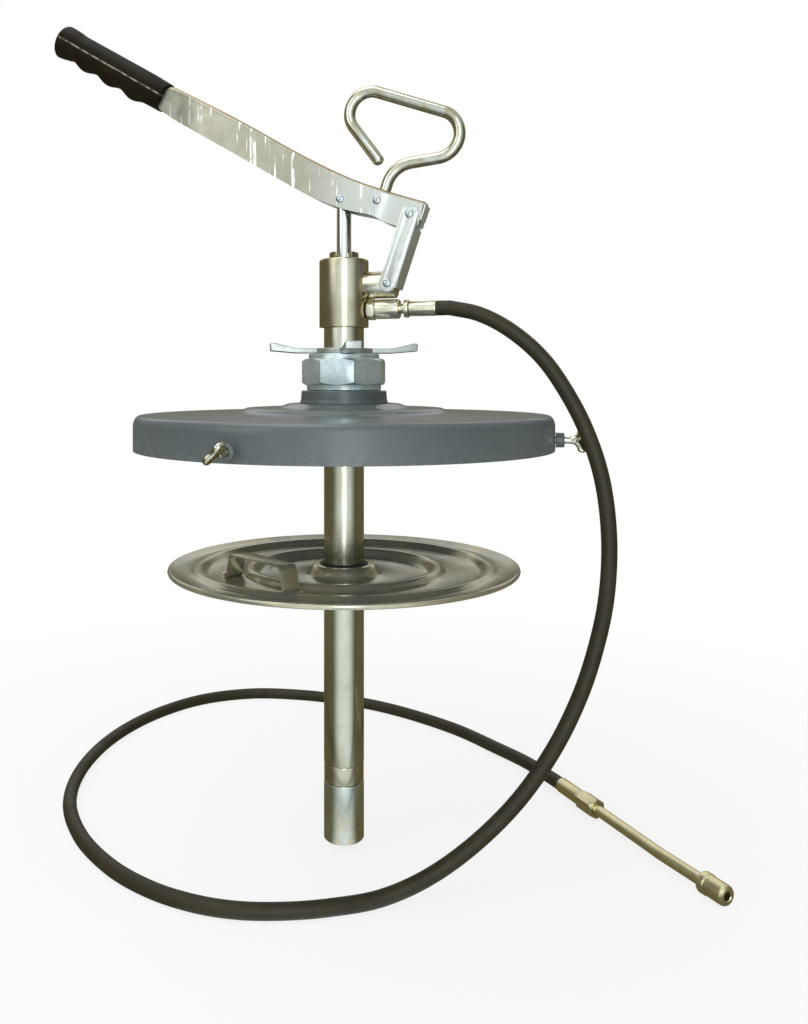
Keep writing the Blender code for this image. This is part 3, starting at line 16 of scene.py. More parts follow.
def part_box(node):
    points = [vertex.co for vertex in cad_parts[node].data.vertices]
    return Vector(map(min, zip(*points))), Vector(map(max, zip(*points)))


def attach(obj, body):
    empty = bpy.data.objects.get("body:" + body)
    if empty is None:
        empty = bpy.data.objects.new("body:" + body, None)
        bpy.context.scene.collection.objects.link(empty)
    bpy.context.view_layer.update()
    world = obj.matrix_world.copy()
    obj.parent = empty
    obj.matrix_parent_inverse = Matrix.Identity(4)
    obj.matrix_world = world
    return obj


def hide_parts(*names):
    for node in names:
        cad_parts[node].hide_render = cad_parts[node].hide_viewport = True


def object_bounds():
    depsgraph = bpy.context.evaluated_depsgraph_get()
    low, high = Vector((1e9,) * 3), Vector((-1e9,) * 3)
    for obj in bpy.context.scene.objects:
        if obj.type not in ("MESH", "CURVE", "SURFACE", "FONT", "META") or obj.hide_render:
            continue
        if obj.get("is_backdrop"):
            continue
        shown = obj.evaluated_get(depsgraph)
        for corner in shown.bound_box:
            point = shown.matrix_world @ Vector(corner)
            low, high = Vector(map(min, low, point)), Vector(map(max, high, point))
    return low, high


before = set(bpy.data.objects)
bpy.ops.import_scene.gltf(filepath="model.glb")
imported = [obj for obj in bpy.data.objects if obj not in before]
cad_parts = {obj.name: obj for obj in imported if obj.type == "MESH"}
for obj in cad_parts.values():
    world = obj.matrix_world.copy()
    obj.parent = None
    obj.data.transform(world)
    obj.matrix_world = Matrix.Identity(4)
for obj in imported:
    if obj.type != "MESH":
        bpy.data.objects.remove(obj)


def plain(values):
    """Vectors as nested lists, which json can write."""
    return [plain(v) if hasattr(v, "__len__") else float(v) for v in values]


def show(name, data=None):
    """A new object in the scene."""
    thing = bpy.data.objects.new(name, data)
    bpy.context.scene.collection.objects.link(thing)
    return thing


cad_box = plain(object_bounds())
print("CAD box:", cad_box)

# %% [markdown]
# ## The camera
# It stands 0.77 m from the pump's axis, a little above the lid, and looks level, turned 17
# degrees from the lever's own plane. A level lens keeps the tube's sides parallel, so the
# frame is set with the lens shift.

# %% Camera
CAMERA_AWAY = 0.768
CAMERA_TURN = math.radians(17)
CAMERA_Z = 0.0329
TOWARD = Vector((-math.sin(CAMERA_TURN), math.cos(CAMERA_TURN), 0))

camera_data = bpy.data.cameras.new("studio_camera")
camera_data.sensor_fit = "VERTICAL"
camera_data.sensor_height = 36.0
camera_data.lens = 32.73
camera_data.shift_x = 0.0586
camera_data.shift_y = -0.130
camera = show("studio_camera", camera_data)
camera.rotation_euler = TOWARD.to_track_quat("-Z", "Y").to_euler()
camera.location = Vector((0, 0, CAMERA_Z)) - TOWARD * CAMERA_AWAY
bpy.context.scene.camera = camera
bpy.context.scene.view_settings.view_transform = "Standard"
print("camera at", plain(camera.location), "lens", camera_data.lens, "mm")

# %% [markdown]
# ## The hose
# It is a 12 mm wire-braided rubber hose. Such a hose is stiff: it goes straight out of its
# ferrule, arches over, hangs in one long bow down to the floor, and then lies flat in an open
# curve behind the pump. It is about 1.7 m long. A curve with a round bevel is equally thick all
# along. Its radius is given at the points, with a bevel depth of 1, so that the curve's bounds,
# which count the points' radius, stay the hose's own.

# %% Hose route and hose
HOSE_R = 0.0060
HOSE_START = (0.0780, 0.0, 0.0896)
FLOOR_Z = -0.3526
NOZZLE_AT = (0.1648, 0.1522, FLOOR_Z + 0.0083)
NOZZLE_HEADING = -0.9030
HOSE_STRAIGHT = 0.010
HOSE_STEP = 0.006
HOSE_LAID_Z = -0.3466
HOSE_FALL = (
    (0.112, -0.001, 0.084), (0.136, -0.001, 0.071), (0.159, -0.001, 0.051), (0.177, -0.002, 0.026),
    (0.1935, -0.003, -0.006), (0.2055, -0.0035, -0.044), (0.2105, -0.004, -0.088),
    (0.2085, -0.0055, -0.132), (0.2005, -0.0085, -0.1715), (0.1885, -0.0125, -0.2085),
    (0.1705, -0.0195, -0.246), (0.146, -0.030, -0.282), (0.116, -0.044, -0.312), (0.084, -0.060, -0.334),
    (0.052, -0.078, -0.3455),
)
HOSE_LAID = (
    (0.020, -0.098), (-0.010, -0.112), (-0.043, -0.121), (-0.078, -0.122), (-0.118, -0.114),
    (-0.163, -0.094), (-0.212, -0.058), (-0.256, -0.006), (-0.285, 0.060), (-0.297, 0.134),
    (-0.289, 0.206), (-0.260, 0.268), (-0.212, 0.306), (-0.157, 0.319), (-0.104, 0.319),
    (-0.050, 0.309), (0.001, 0.289), (0.050, 0.262),
)
HOSE_LIFT = ((0.094, 0.227, -0.3464), (0.129, 0.196, -0.3456))      # up into the end ferrule


def smooth_route(route, step):
    """Evenly spaced points on a smooth curve through the route's points."""
    route = [Vector(point) for point in route]
    route = [2 * route[0] - route[1], *route, 2 * route[-1] - route[-2]]
    fine = []
    for before, start, end, after in zip(route, route[1:], route[2:], route[3:]):
        for i in range(12):
            t = i / 12
            fine.append(0.5 * (2 * start + (end - before) * t
                               + (2 * before - 5 * start + 4 * end - after) * t ** 2
                               + (3 * start - before - 3 * end + after) * t ** 3))
    fine.append(route[-2])
    lengths = [0.0]
    for first, second in zip(fine, fine[1:]):
        lengths.append(lengths[-1] + (second - first).length)
    count = round(lengths[-1] / step)
    points = []
    at = 0
    for i in range(count + 1):
        want = lengths[-1] * i / count
        while at < len(fine) - 2 and lengths[at + 1] < want:
            at += 1
        t = (want - lengths[at]) / (lengths[at + 1] - lengths[at])
        points.append(fine[at].lerp(fine[at + 1], min(t, 1.0)))
    return points


hose_in = Vector(HOSE_START)
hose_out = Vector(NOZZLE_AT)
nozzle_along = Vector((math.cos(NOZZLE_HEADING), math.sin(NOZZLE_HEADING), 0))
hose_route = [hose_in + Vector((HOSE_STRAIGHT, 0, 0)), *HOSE_FALL,
              *((x, y, HOSE_LAID_Z) for x, y in HOSE_LAID), *HOSE_LIFT,
              hose_out - nozzle_along * HOSE_STRAIGHT]
hose_points = [hose_in, *smooth_route(hose_route, HOSE_STEP), hose_out]

hose_curve = bpy.data.curves.new("rubber_hose", "CURVE")
hose_curve.dimensions = "3D"
hose_curve.bevel_depth = 1.0
hose_curve.bevel_resolution = 10
hose_curve.use_fill_caps = True
hose_line = hose_curve.splines.new("POLY")
hose_line.points.add(len(hose_points) - 1)
for point, co in zip(hose_line.points, hose_points):
    point.co, point.radius = (*co, 1.0), HOSE_R
rubber_hose = show("rubber_hose", hose_curve)
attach(rubber_hose, "pump")
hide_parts("hose")

# %% [markdown]
# ## Node graphs
# The floor, the world and every finish are small graphs of shader nodes. This helper makes a
# node, sets it and joins it in one call, so that a graph reads like a formula.

# %% Helper: node graphs
class Graph:
    """The nodes of a material, a world or a node group."""

    def __init__(self, tree):
        self.tree = tree

    def feed(self, socket, value):
        """Join an output to a socket, or give the socket a number, vector or colour."""
        if isinstance(value, bpy.types.NodeSocket):
            self.tree.links.new(value, socket)
        elif socket.type == "RGBA" and len(value) == 3:
            socket.default_value = (*value, 1.0)
        else:
            socket.default_value = value

    def add(self, kind, inputs=None, output=0, **settings):
        """A new node with its settings and inputs; its wanted output is returned."""
        node = self.tree.nodes.new("ShaderNode" + kind)
        for name, value in settings.items():
            setattr(node, name, value)
        for key, value in (inputs or {}).items():
            self.feed(node.inputs[key], value)
        return node.outputs[output]

    def math(self, how, a, b=0.0):
        return self.add("Math", {0: a, 1: b}, "Value", operation=how)

    def times(self, a, b):
        return self.math("MULTIPLY", a, b)

    def plus(self, a, b):
        return self.math("ADD", a, b)

    def vectors(self, how, a, b=None, output="Vector"):
        return self.add("VectorMath", {0: a} if b is None else {0: a, 1: b}, output, operation=how)

    def dot(self, vector, axis):
        return self.vectors("DOT_PRODUCT", vector, axis, "Value")

    def axes(self, vector):
        """The X, Y and Z of a vector, as outputs of one node."""
        return self.add("SeparateXYZ", {"Vector": vector}).node.outputs

    def coordinates(self, kind="Object"):
        return self.add("TexCoord", output=kind)

    def noise(self, vector, scale, detail=4.0, rough=0.55, distort=0.0):
        return self.add("TexNoise", {"Vector": vector, "Scale": scale, "Detail": detail,
                                     "Roughness": rough, "Distortion": distort}, "Fac")

    def remap(self, value, low, high, to_low=0.0, to_high=1.0, how="SMOOTHSTEP"):
        """Stretch a value between two levels, clamped."""
        return self.add("MapRange", {"Value": value, "From Min": low, "From Max": high, "To Min": to_low,
                                     "To Max": to_high}, "Result", interpolation_type=how)

    def colour_mix(self, factor, a, b):
        """Sockets 6 and 7 of the Mix node are its two colours, and output 2 is its colour."""
        return self.add("Mix", {0: factor, 6: a, 7: b}, 2, data_type="RGBA")

    def shader_mix(self, factor, first, second):
        return self.add("MixShader", {"Fac": factor, 1: first, 2: second}, "Shader")

    def stretched(self, vector, turn, scale):
        return self.add("Mapping", {"Vector": vector, "Rotation": turn, "Scale": scale})

    def bump(self, height, strength, distance):
        return self.add("Bump", {"Height": height, "Strength": strength, "Distance": distance}, "Normal")

    def group(self, tree, **values):
        """A shared group with its own settings, as the node's outputs."""
        node = self.tree.nodes.new("ShaderNodeGroup")
        node.node_tree = tree
        for title, value in values.items():
            self.feed(node.inputs[title], value)
        return node.outputs


def new_material(name):
    """A material with its graph and its Principled shader's inputs."""
    material = bpy.data.materials.new(name)
    material.use_nodes = True
    return material, Graph(material.node_tree), material.node_tree.nodes["Principled BSDF"].inputs


print("node graphs ready")

# %% [markdown]
# ## Floor, world and lamps
# The studio is a plain white stage in a larger, warm, dim room. The camera sees white all
# round; the floor carries soft shadows near the part and turns into plain white further out,
# so no horizon shows. Polished metal mirrors three things: the white backdrop straight behind
# the part and above it, the dim warm room at its sides, and the tall soft box that stands at the
# camera, with its glow on the walls. On the floor that glow and the dim room are painted:
# glossy rays see a painted reflection there, not the floor's own white.

# %% Floor
FLOOR_R, FLOOR_SIDES = 4.0, 64
FADE_FROM, FADE_TO = 0.42, 0.95       # where the floor turns into plain white
FLOOR_WHITE = (0.94, 0.94, 0.94)
FLOOR_GLOW = 0.82                     # share of plain white that the floor has close to the part
ROOM_SIDE = (0.150, 0.142, 0.082)
FRONT_GLOW = (1.02, 1.12, 1.15)
GLOW_FROM, GLOW_FULL = 0.42, 1.0      # how straight in front of the part the glow is


def along_mask(graph, vector, axis, low, high):
    """From 0 to 1 as a direction turns towards an axis."""
    return graph.remap(graph.dot(vector, axis), low, high)


def mirrored_walls(graph, vector):
    """What metal mirrors level with itself: the dim room, and the glow round the soft box; on the floor it
    is a painted reflection.
    """
    level = graph.vectors("NORMALIZE", graph.vectors("MULTIPLY", vector, (1.0, 1.0, 0.0)))
    return graph.colour_mix(along_mask(graph, level, -TOWARD, GLOW_FROM, GLOW_FULL), ROOM_SIDE, FRONT_GLOW)


floor_mesh = bpy.data.meshes.new("studio_floor")
turns = [math.tau * i / FLOOR_SIDES for i in range(FLOOR_SIDES)]
floor_mesh.from_pydata([(FLOOR_R * math.cos(t), FLOOR_R * math.sin(t), FLOOR_Z) for t in turns], [],
                       [list(range(FLOOR_SIDES))])
show("studio_floor", floor_mesh)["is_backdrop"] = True

floor_paint, graph, shader = new_material("studio_white")
for title, value in (("Base Color", FLOOR_WHITE), ("Roughness", 0.9), ("Specular IOR Level", 0.1)):
    graph.feed(shader[title], value)
where = graph.coordinates()
fade = graph.remap(graph.vectors("LENGTH", where, output="Value"), FADE_FROM, FADE_TO, FLOOR_GLOW)
painted_floor = floor_paint.node_tree.nodes["Principled BSDF"].outputs["BSDF"]
lit = graph.shader_mix(fade, painted_floor, graph.add("Emission"))
# Painted reflection: glossy rays see the floor as the dim room's colour, with a painted pool of the soft
# box's light in front of the part.
painted_floor_reflection = graph.add("Emission", {"Color": mirrored_walls(graph, where)})
graph.feed(floor_paint.node_tree.nodes["Material Output"].inputs["Surface"],
           graph.shader_mix(graph.add("LightPath", output="Is Glossy Ray"), lit, painted_floor_reflection))
floor_mesh.materials.append(floor_paint)
print("floor at", FLOOR_Z)

# %% World
DIFFUSE_LIGHT = (0.46, 0.46, 0.46)
ROOM_TOP = (0.62, 0.66, 0.66)
BACKDROP = (1.0, 1.0, 1.0)
BACKDROP_FROM, BACKDROP_FULL = 0.35, 0.80     # how straight behind the part the backdrop is
HORIZON, BACKDROP_UP = 0.14, 0.42             # how high over the horizon it starts to show
CEILING_FROM, CEILING_FULL = 0.35, 0.85
UP = (0, 0, 1)
world = bpy.data.worlds.new("studio_room")
bpy.context.scene.world = world
world.use_nodes = True
world.node_tree.nodes.clear()
graph = Graph(world.node_tree)


def background(colour):
    return graph.add("Background", {"Color": colour})


direction = graph.coordinates("Generated")
path = graph.add("LightPath").node.outputs
behind = graph.times(along_mask(graph, direction, TOWARD, BACKDROP_FROM, BACKDROP_FULL),
                     along_mask(graph, direction, UP, HORIZON, BACKDROP_UP))
room = graph.shader_mix(along_mask(graph, direction, UP, CEILING_FROM, CEILING_FULL),
                        background(mirrored_walls(graph, direction)), background(ROOM_TOP))
room = graph.shader_mix(behind, room, background(BACKDROP))
unseen = graph.shader_mix(path["Is Glossy Ray"], background(DIFFUSE_LIGHT), room)
clear = graph.math("MAXIMUM", path["Is Camera Ray"], path["Is Transmission Ray"])
world_out = world.node_tree.nodes.new("ShaderNodeOutputWorld")
graph.feed(world_out.inputs["Surface"], graph.shader_mix(clear, unseen, background(BACKDROP)))
print("world: white behind, warm dim room at the sides")


# %% Lamps
def soft_box(name, at, aim, size, watts, colour=(1.0, 1.0, 1.0)):
    """A rectangular studio lamp that points at a place."""
    data = bpy.data.lights.new(name, "AREA")
    data.shape = "RECTANGLE"
    data.size, data.size_y = size
    data.energy = watts
    data.color = colour
    lamp = show(name, data)
    lamp.location = at
    lamp.rotation_euler = (Vector(aim) - Vector(at)).to_track_quat("-Z", "Y").to_euler()
    return lamp


FRONT_AWAY, FRONT_TURN = 1.30, math.radians(19)
front_at = (math.sin(FRONT_TURN) * FRONT_AWAY, -math.cos(FRONT_TURN) * FRONT_AWAY, 0.10)
lamps = (soft_box("front_box", front_at, (0, 0, -0.02), (0.30, 1.6), 6.5, (0.95, 1.0, 1.0)),
         soft_box("left_box", (-0.95, -1.25, 0.75), (0, 0, 0), (0.8, 0.8), 4.0, (1.0, 0.98, 0.94)),
         soft_box("top_box", (-0.5, -0.3, 1.9), (0, 0, 0), (1.6, 1.2), 16.0))
print("lamps:", [lamp.name for lamp in lamps])


# %% [markdown]
# ## Tools for turned and pressed parts
# Most of this pump came off a lathe or out of a press. A turned part is a profile of radius
# and height spun about the axis; each corner of the profile gets a small fillet, because a
# real edge is never perfectly sharp and it is the fillet that catches the light. A pressed
# sheet is the same, with a second line one sheet thickness below the first.

# %% Helpers: profiles
ROUND = 96


def fillet(points, steps=4):
    """Round the corners of a chain of (x, y, radius) points; radius 0 or none leaves one sharp."""
    points = [(p[0], p[1], p[2] if len(p) > 2 else 0.0) for p in points]
    out = []
    for i, (x, y, radius) in enumerate(points):
        if radius <= 0 or i in (0, len(points) - 1):
            out.append((x, y))
            continue
        here = Vector((x, y))
        back = Vector(points[i - 1][:2]) - here
        ahead = Vector(points[i + 1][:2]) - here
        opening = back.angle(ahead)
        run = min(radius / math.tan(opening / 2), back.length * 0.48, ahead.length * 0.48)
        start = here + back.normalized() * run
        end = here + ahead.normalized() * run
        for k in range(steps + 1):
            t = k / steps
            p = start * (1 - t) ** 2 + here * 2 * t * (1 - t) + end * t ** 2
            out.append((p.x, p.y))
    return out


def sheet_profile(points, thickness):
    """A pressed sheet: the line given, and the same line one thickness to its right."""
    line = [Vector(p) for p in points]
    below = []
    for i, p in enumerate(line):
        a = (line[i] - line[i - 1]).normalized() if i else None
        b = (line[i + 1] - line[i]).normalized() if i < len(line) - 1 else None
        along = (a + b).normalized() if a and b else (a or b)
        spread = 1.0 / max(0.5, along.dot(a or b))
        below.append(p + Vector((along.y, -along.x)) * thickness * spread)
    return [tuple(p) for p in line] + [tuple(p) for p in reversed(below)]


def step(start, end, count=8):
    """The soft S that a press leaves between two levels."""
    out = []
    for i in range(count + 1):
        t = i / count
        ease = t * t * (3 - 2 * t)
        out.append((start[0] + (end[0] - start[0]) * t, start[1] + (end[1] - start[1]) * ease))
    return out


def arc(centre, radius, start, end, count):
    angles = [start + (end - start) * i / count for i in range(count + 1)]
    return [(centre[0] + radius * math.cos(a), centre[1] + radius * math.sin(a)) for a in angles]


def smooth_mesh(mesh, sharp=32):
    """Shade round faces smooth and keep edges over the given angle sharp."""
    mesh.shade_smooth()
    mesh.set_sharp_from_angle(angle=math.radians(sharp))
    return mesh


def mesh_from(name, bm, sharp):
    """The mesh of a bmesh, with its faces turned outwards."""
    bmesh.ops.recalc_face_normals(bm, faces=bm.faces)
    mesh = bpy.data.meshes.new(name)
    bm.to_mesh(mesh)
    bm.free()
    return smooth_mesh(mesh, sharp)


def turned_mesh(name, profile, sides=ROUND, loop=False, sharp=32):
    """Spin a profile about Z. A point on the axis becomes a single vertex."""
    bm = bmesh.new()
    rows = []
    for r, z in profile:
        turns = [math.tau * k / sides for k in range(sides if r > 1e-7 else 1)]
        rows.append([bm.verts.new((r * math.cos(t), r * math.sin(t), z)) for t in turns])
    pairs = list(zip(rows, rows[1:]))
    if loop:
        pairs.append((rows[-1], rows[0]))
    for first, second in pairs:
        if len(first) == 1 and len(second) == 1:
            continue
        for k in range(sides):
            n = (k + 1) % sides
            corners = [first[k % len(first)], first[n % len(first)],
                       second[n % len(second)], second[k % len(second)]]
            corners = [c for i, c in enumerate(corners) if c not in corners[:i]]
            if len(corners) > 2:
                bm.faces.new(corners)
    return mesh_from(name, bm, sharp)


def loft_mesh(name, rows, sharp=32):
    """Skin a row of matching closed sections with quads and cap both ends."""
    bm = bmesh.new()
    grid = [[bm.verts.new(co) for co in row] for row in rows]
    count = len(rows[0])
    for first, second in zip(grid, grid[1:]):
        for i in range(count):
            j = (i + 1) % count
            bm.faces.new((first[i], first[j], second[j], second[i]))
    bm.faces.new(grid[0][::-1])
    bm.faces.new(grid[-1])
    return mesh_from(name, bm, sharp)


def prism_mesh(name, corners, low, high):
    """An upright prism over a polygon in the XY plane."""
    return loft_mesh(name, [[(x, y, low) for x, y in corners], [(x, y, high) for x, y in corners]])


def rectangle(low_x, high_x, half_y):
    return [(low_x, -half_y), (high_x, -half_y), (high_x, half_y), (low_x, half_y)]


def polygon(across_flats, sides, turn):
    corner = across_flats / 2 / math.cos(math.pi / sides)
    return [(corner * math.cos(turn + math.tau * i / sides),
             corner * math.sin(turn + math.tau * i / sides)) for i in range(sides)]


def bent_bar(start, heading, bends, fine=0.10):
    """Centre line of a bar bent in the XZ plane: straight runs joined by arcs."""
    x, z = start
    points = [(x, z)]
    for straight, turn, radius in bends:
        x += straight * math.cos(heading)
        z += straight * math.sin(heading)
        points.append((x, z))
        if turn:
            side = math.copysign(math.pi / 2, turn)
            centre = (x + radius * math.cos(heading + side), z + radius * math.sin(heading + side))
            bend = arc(centre, radius, heading - side, heading - side + turn,
                       max(4, round(abs(turn) / fine)))
            points += bend[1:]
            x, z = bend[-1]
            heading += turn
    return points


def bar_mesh(name, line, radius, sides=28, nose=0.0012, bore=0.0):
    """A round bar along points in space, with its ends slightly rounded."""
    line = [Vector(p) for p in line]
    up = Vector((0, 1, 0)) if abs((line[1] - line[0]).normalized().y) < 0.8 else Vector((0, 0, 1))
    rows = []

    def section(centre, along, r):
        across = along.cross(up).normalized()
        lift = across.cross(along).normalized()
        return [centre + (across * math.cos(math.tau * k / sides)
                          + lift * math.sin(math.tau * k / sides)) * r for k in range(sides)]

    first = (line[1] - line[0]).normalized()
    last = (line[-1] - line[-2]).normalized()
    curve = [(math.pi / 2 * k / 4) for k in range(5)]
    for a in curve:
        rows.append(section(line[0] + first * nose * (1 - math.cos(a)), first,
                            radius - nose * (1 - math.sin(a))))
    for before, here, after in zip(line, line[1:], line[2:]):
        rows.append(section(here, (after - before).normalized(), radius))
    for a in reversed(curve):
        rows.append(section(line[-1] - last * nose * (1 - math.cos(a)), last,
                            radius - nose * (1 - math.sin(a))))
    return loft_mesh(name, rows)


print("profile tools ready,", ROUND, "sides to a circle")

# %% [markdown]
# ## Tools for cutting, placing and naming
# Holes, slots and flats are cut with Booleans, which are applied at once so that the piece
# kept is one plain mesh. A piece is then set in place, rides on the body that moves it, and
# stands for the coarse solids that it replaces.

# %% Helpers: cutting and placing
ALONG_X = Matrix.Rotation(math.pi / 2, 4, "Y")
ALONG_Y = Matrix.Rotation(-math.pi / 2, 4, "X")


def applied(blank, *cutters):
    """The mesh that an object's modifiers make; the object and its cutters are taken away."""
    bpy.context.view_layer.update()
    made = bpy.data.meshes.new_from_object(blank.evaluated_get(bpy.context.evaluated_depsgraph_get()))
    for thing in (blank, *cutters):
        bpy.data.objects.remove(thing, do_unlink=True)
    return made


def combine(mesh, tools, how="DIFFERENCE", sharp=32):
    """Cut, join or intersect a mesh with others, in place, and return it clean."""
    blank = show("blank", mesh)
    cutters = [show("cutter", tool) for tool in tools]
    for cutter in cutters:
        cut = blank.modifiers.new("cut", "BOOLEAN")
        cut.operation = how
        cut.solver = "EXACT"
        cut.object = cutter
    made = applied(blank, *cutters)
    bm = bmesh.new()
    bm.from_mesh(made)
    bmesh.ops.remove_doubles(bm, verts=bm.verts, dist=0.000004)
    bmesh.ops.dissolve_degenerate(bm, edges=bm.edges, dist=0.000002)
    bm.to_mesh(made)
    bm.free()
    made.materials.clear()
    return smooth_mesh(made, sharp)


def bevelled(mesh, width, segments=3, angle=30, sharp=32):
    """Round the edges of a mesh that are sharper than the angle."""
    blank = show("blank", mesh)
    bevel = blank.modifiers.new("edges", "BEVEL")
    bevel.width = width
    bevel.segments = segments
    bevel.limit_method = "ANGLE"
    bevel.angle_limit = math.radians(angle)
    bevel.use_clamp_overlap = True
    return smooth_mesh(applied(blank), sharp)


def moved(mesh, matrix):
    mesh.transform(matrix)
    if matrix.determinant() < 0:
        mesh.flip_normals()
    return mesh


def plate_mesh(name, outline, thickness):
    """A flat outline in the XZ plane, as thick along Y as given, centred on it."""
    rows = [[(x, side * thickness / 2, z) for x, z in outline] for side in (-1, 1)]
    return loft_mesh(name, rows)


def cylinder(name, radius, low, high, sides=ROUND):
    return turned_mesh(name, [(0, low), (radius, low), (radius, high), (0, high)], sides)


def drill(at, radius, half=0.03, sides=36):
    """A cutter along Y through a point of the XZ plane."""
    place = Matrix.Translation((at[0], 0, at[1])) @ ALONG_Y
    return moved(cylinder("drill", radius, -half, half, sides), place)


def piece(name, mesh, body, finish, nodes=(), place=None):
    """Put a mesh in the scene with its finish; it rides on a body and stands for solids."""
    thing = show(name, mesh)
    if place is not None:
        thing.matrix_world = place
    mesh.materials.clear()
    mesh.materials.append(finish)
    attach(thing, body)
    if nodes:
        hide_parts(*nodes)
    return thing


def turned_piece(name, profile, body, finish, nodes, place=None, sides=ROUND):
    """A turned part with a hole down its axis, put in the scene."""
    return piece(name, turned_mesh(name, profile, sides, loop=True), body, finish, nodes, place)


def dress(finish, *nodes):
    """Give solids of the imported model, whose shape is right, their finish."""
    for node in nodes:
        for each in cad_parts[node].material_slots:
            each.material = finish


print("cutting and placing tools ready")

# %% [markdown]
# ## Effects shared by the finishes
# Zinc plate is never one colour: the bath leaves cloudy patches, bluer here and yellower
# there. Turned and drawn steel carries hair-fine lines across or along it. Everything that
# is handled gets dull smudges and a few scratches. Each of these is a node group, built once,
# with its own sizes and strengths wherever it is used.

# %% Helper: node groups
SOCKETS = {1: "NodeSocketFloat", 3: "NodeSocketVector", 4: "NodeSocketColor"}


def new_group(name, inputs, outputs):
    """A shared node group with named sockets: returns it with its graph, inputs and outputs.

    An input's default says what it is: a number, three for a vector, or four for a colour."""
    tree = bpy.data.node_groups.new(name, "ShaderNodeTree")
    for title, value in inputs.items():
        kind = SOCKETS[len(value) if isinstance(value, tuple) else 1]
        tree.interface.new_socket(title, in_out="INPUT", socket_type=kind).default_value = value
    for title, width in outputs.items():
        tree.interface.new_socket(title, in_out="OUTPUT", socket_type=SOCKETS[width])
    given = tree.nodes.new("NodeGroupInput").outputs
    return tree, Graph(tree), given, tree.nodes.new("NodeGroupOutput").inputs


# %% Group: cloudy plating
clouds, graph, given, out = new_group(
    "plating_clouds", {"Base": (0.6, 0.6, 0.6, 1), "Tint": (0.5, 0.5, 0.4, 1), "Size": 40.0,
                       "Amount": 0.5}, {"Color": 4, "Cloud": 1})
where = graph.coordinates()
broad = graph.remap(graph.noise(where, given["Size"], 3.0, 0.6, 0.6), 0.36, 0.64)
small = graph.remap(graph.noise(where, graph.times(given["Size"], 6.0), 3.0, 0.6), 0.3, 0.7)
cloud = graph.times(graph.plus(graph.times(broad, 0.7), graph.times(small, 0.3)), given["Amount"])
graph.feed(out["Color"], graph.colour_mix(cloud, given["Base"], given["Tint"]))
graph.feed(out["Cloud"], cloud)

# %% Group: hair lines of drawing, turning and brushing
hairlines, graph, given, out = new_group(
    "hair_lines", {"Stretch": (40.0, 40.0, 4000.0), "Depth": 0.2}, {"Lines": 1, "Normal": 3})
fine = graph.noise(graph.vectors("MULTIPLY", graph.coordinates(), given["Stretch"]), 1.0, 3.0, 0.7)
graph.feed(out["Lines"], fine)
graph.feed(out["Normal"], graph.bump(fine, given["Depth"], 0.00005))

# %% Group: handling marks
handling, graph, given, out = new_group(
    "handling_marks", {"Size": 30.0, "Smudge": 0.5, "Scratch": 0.3}, {"Smudges": 1, "Scratches": 1})
where = graph.coordinates()
smear = graph.remap(graph.noise(where, given["Size"], 5.0, 0.65, 1.2), 0.42, 0.72)
graph.feed(out["Smudges"], graph.times(smear, given["Smudge"]))
slanted = graph.stretched(where, (0.5, 0.9, 0.35), (900.0, 25.0, 60.0))
thin = graph.remap(graph.noise(slanted, 1.0, 1.0, 0.4), 0.70, 0.74)
patch = graph.remap(graph.noise(where, 55.0, 2.0), 0.50, 0.62)
graph.feed(out["Scratches"], graph.times(graph.times(thin, patch), given["Scratch"]))

# %% Group: worn edges
edge_wear, graph, given, out = new_group("edge_wear", {"Low": 0.52, "High": 0.60}, {"Edge": 1})
pointy = graph.add("NewGeometry", output="Pointiness")
sharp = graph.remap(pointy, given["Low"], given["High"], how="LINEAR")
broken = graph.remap(graph.noise(graph.coordinates(), 180.0), 0.35, 0.60)
graph.feed(out["Edge"], graph.times(sharp, broken))

# %% Group: runs that the dripping zinc left across a lever
RUN_ENDS = 0.01                       # how far the first and last runs take to fade
zinc_runs, graph, given, out = new_group("zinc_runs", {"From": -0.185, "To": 0.040}, {"Runs": 1})
where = graph.coordinates()
slanted = graph.stretched(where, (0.0, 0.28, 0.0), (420.0, 30.0, 18.0))
lines = graph.remap(graph.noise(slanted, 1.0, 2.0, 0.5), 0.59, 0.66)
patches = graph.remap(graph.noise(where, 60.0, 2.0), 0.42, 0.54)
x = graph.axes(where)["X"]
start = graph.remap(x, given["From"], graph.plus(given["From"], RUN_ENDS), how="LINEAR")
stop = graph.remap(x, given["To"], graph.math("SUBTRACT", given["To"], RUN_ENDS), how="LINEAR")
graph.feed(out["Runs"], graph.times(graph.times(start, stop), graph.times(lines, patches)))
print("groups:", [g.name for g in bpy.data.node_groups])

# %% [markdown]
# ## Finishes
# There are fifteen metals, one paint, two rubbers and a plastic. A metal's colour is the
# tint of what it mirrors: the lever's and link's zinc nearly neutral, the clamp's faintly blue,
# the fittings' passivated zinc olive, the tube an oily steel. The yellowed ones turn warmer at
# a glancing angle, which their specular tint gives. Zinc that has dulled is a little less than
# fully metallic.

# %% Metal finishes
YELLOWED = (1.0, 0.84, 0.52)


def roughened(graph, shader, marks, level, smudged, scratched=0.0):
    """The roughness of a finish: its own level, duller where it is smudged or scratched."""
    level = graph.plus(level, graph.times(marks["Smudges"], smudged))
    if scratched:
        level = graph.plus(level, graph.times(marks["Scratches"], scratched))
    graph.feed(shader["Roughness"], level)


